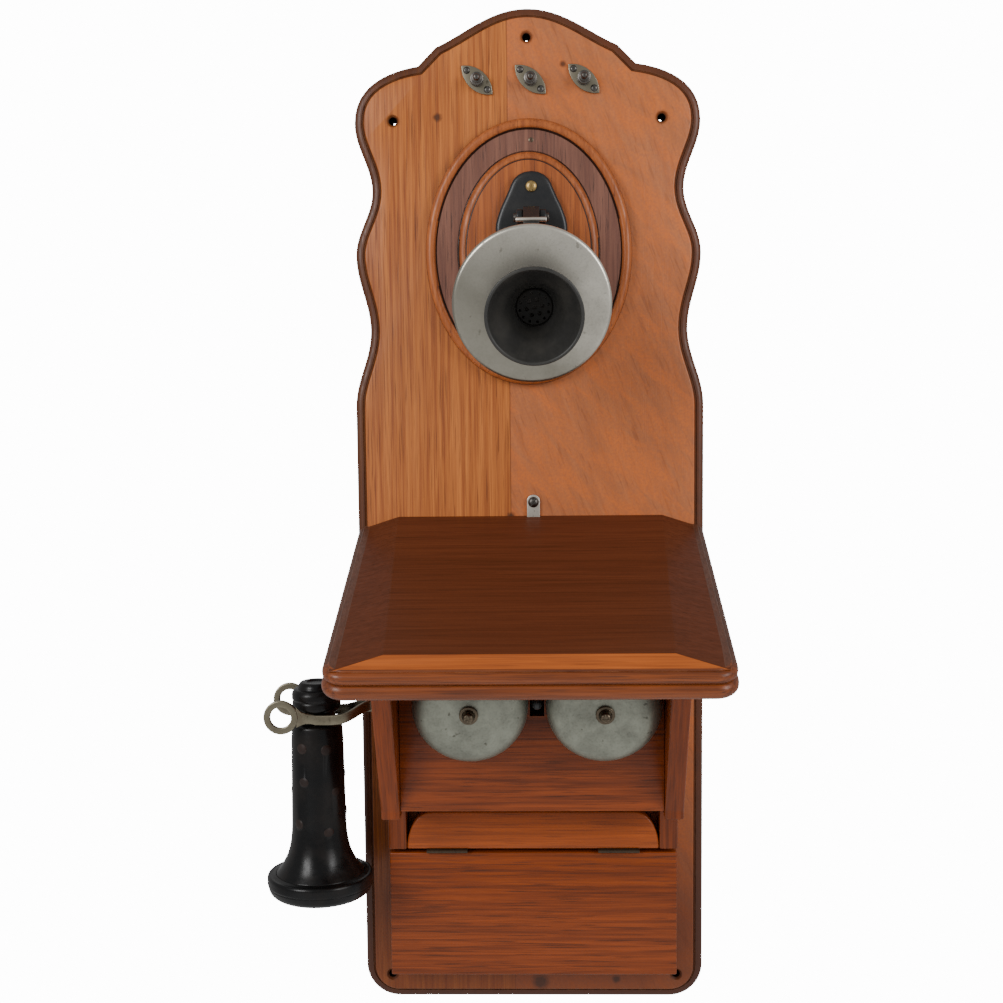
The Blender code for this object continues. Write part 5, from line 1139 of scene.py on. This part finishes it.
class TELEPHONE_OT_gongs(bpy.types.Operator):
    """Two domed gongs held by slotted nuts"""
    bl_idname = "telephone.gongs"
    bl_label = "Gongs"

    def execute(self, context):
        wall = context.scene.telephone_sizes.gong_wall / MM
        outer = []
        inner = []
        for index in range(15):
            angle = math.radians(90 * index / 14)
            radius = 40 * math.sin(angle) ** 0.86
            height = 21 * math.cos(angle) ** 0.62 if index < 14 else 0
            if radius > 3.2:
                outer.append((radius, height))
                inner.append((radius * (40 - wall) / 40, max(height - wall * math.cos(angle), 0)))
        profile = [(3.2, 21)] + outer + list(reversed(inner)) + [(3.2, 21 - wall)]
        profile = [(radius * MM, height * MM) for radius, height in profile]
        axis = Vector((0, -math.cos(GONG_NOD), -math.sin(GONG_NOD)))
        for x, name in zip(GONG_X, ("left", "right")):
            middle = along(at(x, *GONG_PLACE), axis)
            gong = lathe("bell_" + name, profile, middle, 96, True)
            if name == "left":
                tip = at(x - 3 * MM, GONG_PLACE[0], GONG_PLACE[1] - 40.3 * MM)
                carve(gong, rod("nick", tip + Vector((0, 4 * MM, 0)), tip - Vector((0, 4 * MM, 0)), 0.9 * MM, 12))
            dress(gong, "cabinet", "gong_metal", surface("Gong Metal"), "gong_" + name)
            nut = lathe("bell_nut_" + name, eased([
                (0, 29.3, 0), (2.4, 29.2, 1.0), (3.8, 28, 1.4), (4.3, 25, 0.6), (4.6, 23.4, 0.3), (6.4, 23.2, 0.6),
                (6.5, 21.3, 0), (0, 21.3, 0)]), Matrix.Identity(4), 48)
            slot = rod("slot", Vector((-6 * MM, 0, 29.4 * MM)), Vector((6 * MM, 0, 29.4 * MM)), 0.75 * MM, 8)
            cross = rod("cross", Vector((0, -6 * MM, 29.4 * MM)), Vector((0, 6 * MM, 29.4 * MM)), 0.75 * MM, 8)
            carve(nut, slot, cross)
            turn = Matrix.Rotation(0.35 if name == "left" else 0.1, 4, "Z")
            dress(place(nut, middle @ turn), "cabinet", "brass", surface("Dark Bronze"), "gong_nut_" + name)
        return {"FINISHED"}


# ---------------------------------------------------------------- hook and receiver

class TELEPHONE_OT_hook(bpy.types.Operator):
    """Forked switch hook whose two prongs end in rings"""
    bl_idname = "telephone.hook"
    bl_label = "Switch Hook"

    def execute(self, context):
        hook = ease(box("nickel_hook", (-119 * MM, 40 * MM, -133 * MM), (-57 * MM, 44 * MM, -125 * MM)), 1.1 * MM, 3)
        for side in (-1, 1):
            end = -132.2 if side > 0 else -128.4
            route = [(-114, 0, -128.4), (-116.5, 1.2, -128.5), (-119, 4, -128.8), (-122, 8, -129.8),
                     (-125.5, 12, -131.4), (-129.5, 14.8, -133.2), (-134, 16, -134.6), (-140, 16, -135.2),
                     (-146, 16, -135.3), (-152, 16, -135.2), (-156, 16.2, (end - 3 * 135) / 4),
                     (-159.5, 17, (end - 135) / 2), (-162.5, 18.5, (3 * end - 135) / 4), (-165.5, 20, end)]
            prong = trace("prong", [at(x * MM, HOOK_DEPTH + side * spread * MM, (z - 3.6) * MM)
                                    for x, spread, z in route])
            edit(prong)
            bpy.ops.mesh.extrude_region_move(TRANSFORM_OT_translate={"value": (0, 0, 7.2 * MM)})
            leave()
            for limit, growth in ((-159, 1.12), (-162, 1.3), (-165, 1.45)):
                edit(prong)
                bpy.ops.mesh.select_all(action="DESELECT")
                leave()
                for vertex in prong.data.vertices:
                    vertex.select = vertex.co.x < limit * MM
                bpy.ops.object.mode_set(mode="EDIT")
                bpy.ops.transform.resize(value=(1, 1, growth), center_override=at(0, 0, end * MM))
                leave()
            apply_modifier(prong, "SOLIDIFY", thickness=3 * MM, offset=0)
            face_out(prong)
            ease(prong, 0.9 * MM, 3, 50)
            hoop = eased([(7.3, 1.6, 0.9), (12.2, 1.6, 1.1), (12.2, -1.6, 1.1), (7.3, -1.6, 0.9)], 4, True)
            middle = at(RING_X, HOOK_DEPTH + side * RING_SPREAD, end * MM)
            ring = lathe("ring", hoop, along(middle, FORWARD), 56, True)
            unite(hook, prong, ring)
        carve(hook, rod("bore", at(HOOK_PIN_X, 30 * MM, HOOK_Z), at(HOOK_PIN_X, 56 * MM, HOOK_Z), 2.15 * MM))
        dress(hook, "hook", "dull_nickel", surface("Hook Nickel"), "hook_lever")
        return {"FINISHED"}


class TELEPHONE_OT_receiver(bpy.types.Operator):
    """Hollow hard-rubber receiver with fibre studs, and its beaded ear cap"""
    bl_idname = "telephone.receiver"
    bl_label = "Receiver"

    def execute(self, context):
        middle = Matrix.Translation(at(RECEIVER_X, HOOK_DEPTH, 0))
        shell = lathe("rubber_receiver_shell", eased([
            (0, -111.8, 0), (6.4, -111.8, 0.4), (7, -110.8, 0.5), (11.2, -110.8, 0.9), (12.8, -113.2, 1.0),
            (13.2, -115.4, 0.6), (15.8, -115.8, 0.6), (17.5, -118.4, 1.2), (17.5, -122.6, 1.0), (16.7, -123.8, 0.3),
            (17.2, -125, 0.6), (17.2, -129, 1.2), (15.6, -131.3, 0.6), (13, -131.3, 0.4), (13, -139.2, 1.0),
            (17.8, -141.4, 1.4), (18.6, -152, 3), (19, -183, 6), (19.6, -221, 8), (22.2, -235, 9),
            (27.2, -244.5, 5), (31.5, -249.8, 0.4), (31.5, -258, 0), (28, -258, 0), (28, -253, 0), (21, -245, 2),
            (15.5, -228, 2), (15.5, -148, 0), (0, -148, 0)], 5), middle, 80)
        studs = []
        radius = context.scene.telephone_sizes.shell_stud
        for turn, z in ((-28, -156), (28, -157), (-24, -180), (90, -178), (-90, -190), (49, -188), (90, -205),
                        (-39, -211), (29, -216.6)):
            angle = math.radians(turn)
            way = Vector((math.sin(angle), -math.cos(angle), 0))
            reach = (18.8 if z > -200 else 19.4) * MM
            centre = at(RECEIVER_X, HOOK_DEPTH, z * MM) + way * (reach - 1.2 * MM)
            profile = eased([(0, 1.9, 0), (2.6, 1.7, 1.2), (radius / MM, 0.9, 0.4), (radius / MM, 0, 0), (0, 0, 0)])
            studs.append(lathe("stud", profile, along(centre, way), 24))
        for part in (shell, *studs):
            part.data.materials.append(surface("Hard Rubber"))
        shell.data.materials.append(surface("Rubber Stud"))
        for stud in studs:
            paint(stud, surface("Rubber Stud"), lambda centre, normal: True)
        unite(shell, *studs)
        caps = {tuple(face.center) for face in shell.data.polygons if face.material_index == 1}
        dress(shell, "receiver", "hard_rubber", surface("Hard Rubber"), "receiver_shell")
        paint(shell, surface("Rubber Stud"), lambda centre, normal: tuple(centre) in caps)
        cap = lathe("rubber_ear_cap", eased([
            (31.8, -250, 0), (34.8, -250.6, 0.8), (37, -250.4, 0.9), (38, -252, 0.9), (38, -257.4, 0.8),
            (37.3, -258.1, 0.3), (37.5, -258.8, 0.3), (36.2, -263.4, 2.4), (31.5, -266.7, 3), (25, -267, 3),
            (6.5, -264, 0.5), (6.5, -262, 0), (26.5, -260.6, 1), (31.8, -260.2, 0)], 5, True), middle, 96, True)
        dress(cap, "receiver", "hard_rubber", surface("Hard Rubber"), "receiver_cap")
        return {"FINISHED"}


# ---------------------------------------------------------------- crank

class TELEPHONE_OT_crank(bpy.types.Operator):
    """Crank arm with its turned knob, and the bush in the cheek"""
    bl_idname = "telephone.crank"
    bl_label = "Crank"

    def execute(self, context):
        way = Vector((math.cos(CRANK_TURN), math.sin(CRANK_TURN)))
        centre = Vector(CRANK)
        end = centre + way * CRANK_THROW
        turn = math.degrees(CRANK_TURN)
        outline = arc(centre, 7.5 * MM, turn + 100, turn + 260, 18) + arc(end, 5 * MM, turn - 95, turn + 95, 14)
        arm = ease(slab("nickel_crank_arm", at_side(outline, 111 * MM), Vector((4.5 * MM, 0, 0))), 1.2 * MM, 3, 50)
        hub = ease(rod("hub", at(109.5 * MM, *centre), at(117 * MM, *centre), 7.4 * MM, 48), 0.9 * MM, 3)
        unite(arm, hub)
        carve(arm, rod("bore", at(106 * MM, *centre), at(114.8 * MM, *centre), 4.3 * MM))
        unite(arm, rod("stub", at(113.5 * MM, *end), at(135.5 * MM, *end), 2 * MM, 24))
        dress(arm, "crank", "dull_nickel", surface("Nickel"), "crank_arm")
        knob = lathe("turned_crank_knob", eased([
            (0, 22, 0), (3.4, 21.8, 1.5), (5.9, 19.4, 2), (6.5, 15.4, 3), (5.5, 8.8, 3), (4.1, 3.4, 2), (4.9, 1.4, 0.8),
            (4.9, 0, 0.3), (2.2, 0, 0), (2.2, 20.5, 0), (0, 20.5, 0)]), along(at(115.8 * MM, *end), (1, 0, 0)), 48)
        dress(knob, "knob", "hard_rubber", surface("Hard Rubber"), "crank_knob")
        bush = lathe("nickel_bush", eased([
            (4.2, 14.6, 0.4), (7.8, 14.6, 0.8), (9, 13.4, 0.6), (9, 12.6, 0), (6.5, 12.6, 0), (6.5, 0, 0), (4.2, 0, 0),
        ], 4, True), along(at(93.7 * MM, *CRANK), (1, 0, 0)), 48, True)
        dress(bush, "cabinet", "dull_nickel", surface("Nickel"), "crank_bush")
        return {"FINISHED"}


class TELEPHONE_OT_carried_over(bpy.types.Operator):
    """Give the working parts kept from the CAD frame their materials"""
    bl_idname = "telephone.carried_over"
    bl_label = "Working Parts"

    def execute(self, context):
        looks = {
            "hinge_": "Hinge Bronze", "cabinet_floor": "Panel Oak", "gong_post_": "Brass", "ringer_frame": "Dark Steel",
            "ringer_coil_": "Winding", "hook_bracket": "Dark Steel", "switch_block": "Hard Rubber",
            "switch_spring_": "Brass", "magneto_magnet_": "Magnet Iron", "magneto_frame_": "Brass",
            "induction_coil": "Winding", "transmitter_diaphragm": "Dark Steel", "carbon_button": "Brass",
            "ringer_armature_and_clapper": "Black Iron", "receiver_diaphragm": "Dark Steel",
            "receiver_magnet": "Dark Steel", "crank_gear": "Brass", "crank_shaft": "Dark Steel",
            "magneto_armature": "Dark Steel",
        }
        for name, obj in frame["nodes"].items():
            if obj.hide_render:
                continue
            found = [look for stem, look in looks.items() if name.startswith(stem)]
            finish_in(obj, surface(found[0]))
        return {"FINISHED"}


# ---------------------------------------------------------------- stage

def area_light(name, place_at, aim, size, power):
    drop_selection()
    bpy.ops.object.light_add(type="AREA", location=place_at)
    light = bpy.context.object
    light.name = name
    light.data.shape = "RECTANGLE"
    light.data.size = size[0]
    light.data.size_y = size[1]
    light.data.energy = power
    light.rotation_euler = (Vector(aim) - Vector(place_at)).to_track_quat("-Z", "Y").to_euler()
    return light


class TELEPHONE_OT_stage(bpy.types.Operator):
    """Pale floor, soft lights, world and camera"""
    bl_idname = "telephone.stage"
    bl_label = "Stage"

    def execute(self, context):
        drop_selection()
        bpy.ops.mesh.primitive_plane_add(size=2.6, location=(0, -0.8, -0.75))
        floor = bpy.context.object
        floor.name = "studio_floor"
        material, tree, shader, vector = begin("Studio Floor")
        tone = remap(tree, noise(tree, vector, 3.0, 2), 0.3, 0.7)
        tree.links.new(mix(tree, tone, (0.93, 0.93, 0.93), (0.9, 0.9, 0.9)), shader.inputs["Base Color"])
        shader.inputs["Roughness"].default_value = 0.9
        floor.data.materials.append(material)
        area_light("key_left", (-1.3, -1.5, 0.75), (0, 0, 0), (0.7, 1.1), 24)
        area_light("key_right", (1.5, -1.3, 0.6), (0, 0, 0), (0.7, 1.1), 18)
        world = bpy.data.worlds.new("Studio")
        context.scene.world = world
        world.use_nodes = True
        backing = world.node_tree.nodes["Background"]
        rays = make(world.node_tree, "ShaderNodeLightPath").outputs["Is Camera Ray"]
        seen = remap(world.node_tree, rays, 0.0, 1.0, 0.42, 14.0)
        world.node_tree.links.new(seen, backing.inputs["Strength"])
        backing.inputs["Color"].default_value = (1, 1, 1, 1)
        bpy.ops.object.camera_add(location=CAMERA_PLACE)
        camera = bpy.context.object
        camera.data.sensor_width = 36
        camera.data.lens = CAMERA_LENS
        turn = (Matrix.Rotation(CAMERA_PAN, 4, "Z") @ Matrix.Rotation(math.pi / 2 - CAMERA_DIP, 4, "X")
                @ Matrix.Rotation(CAMERA_ROLL, 4, "Z"))
        camera.rotation_euler = turn.to_euler()
        camera.data.dof.use_dof = False
        context.scene.camera = camera
        return {"FINISHED"}


PIECES = (
    TELEPHONE_OT_backboard, TELEPHONE_OT_plaque, TELEPHONE_OT_terminals, TELEPHONE_OT_bracket,
    TELEPHONE_OT_transmitter, TELEPHONE_OT_desk_lid, TELEPHONE_OT_cabinet, TELEPHONE_OT_lower_panel,
    TELEPHONE_OT_catch, TELEPHONE_OT_gongs, TELEPHONE_OT_hook, TELEPHONE_OT_receiver, TELEPHONE_OT_crank,
    TELEPHONE_OT_carried_over, TELEPHONE_OT_stage,
)


class TELEPHONE_PT_pieces(bpy.types.Panel):
    """Sidebar list of the telephone's pieces"""
    bl_idname = "TELEPHONE_PT_pieces"
    bl_label = "Wall Telephone"
    bl_space_type = "VIEW_3D"
    bl_region_type = "UI"
    bl_category = "Telephone"

    def draw(self, context):
        for group in (context.scene.telephone_colours, context.scene.telephone_sizes):
            for key in group.__annotations__:
                self.layout.prop(group, key)
        for piece in PIECES:
            self.layout.operator(piece.bl_idname)


CLASSES = (TelephoneColours, TelephoneSizes, *PIECES, TELEPHONE_PT_pieces)


def register():
    for item in CLASSES:
        bpy.utils.register_class(item)
    bpy.types.Scene.telephone_colours = PointerProperty(type=TelephoneColours)
    bpy.types.Scene.telephone_sizes = PointerProperty(type=TelephoneSizes)


def unregister():
    del bpy.types.Scene.telephone_colours
    del bpy.types.Scene.telephone_sizes
    for item in reversed(CLASSES):
        bpy.utils.unregister_class(item)


def main():
    register()
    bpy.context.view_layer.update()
    make_materials(bpy.context.scene.telephone_colours)
    for piece in PIECES:
        group, name = piece.bl_idname.split(".")
        getattr(getattr(bpy.ops, group), name)()


if __name__ == "__main__":
    main()
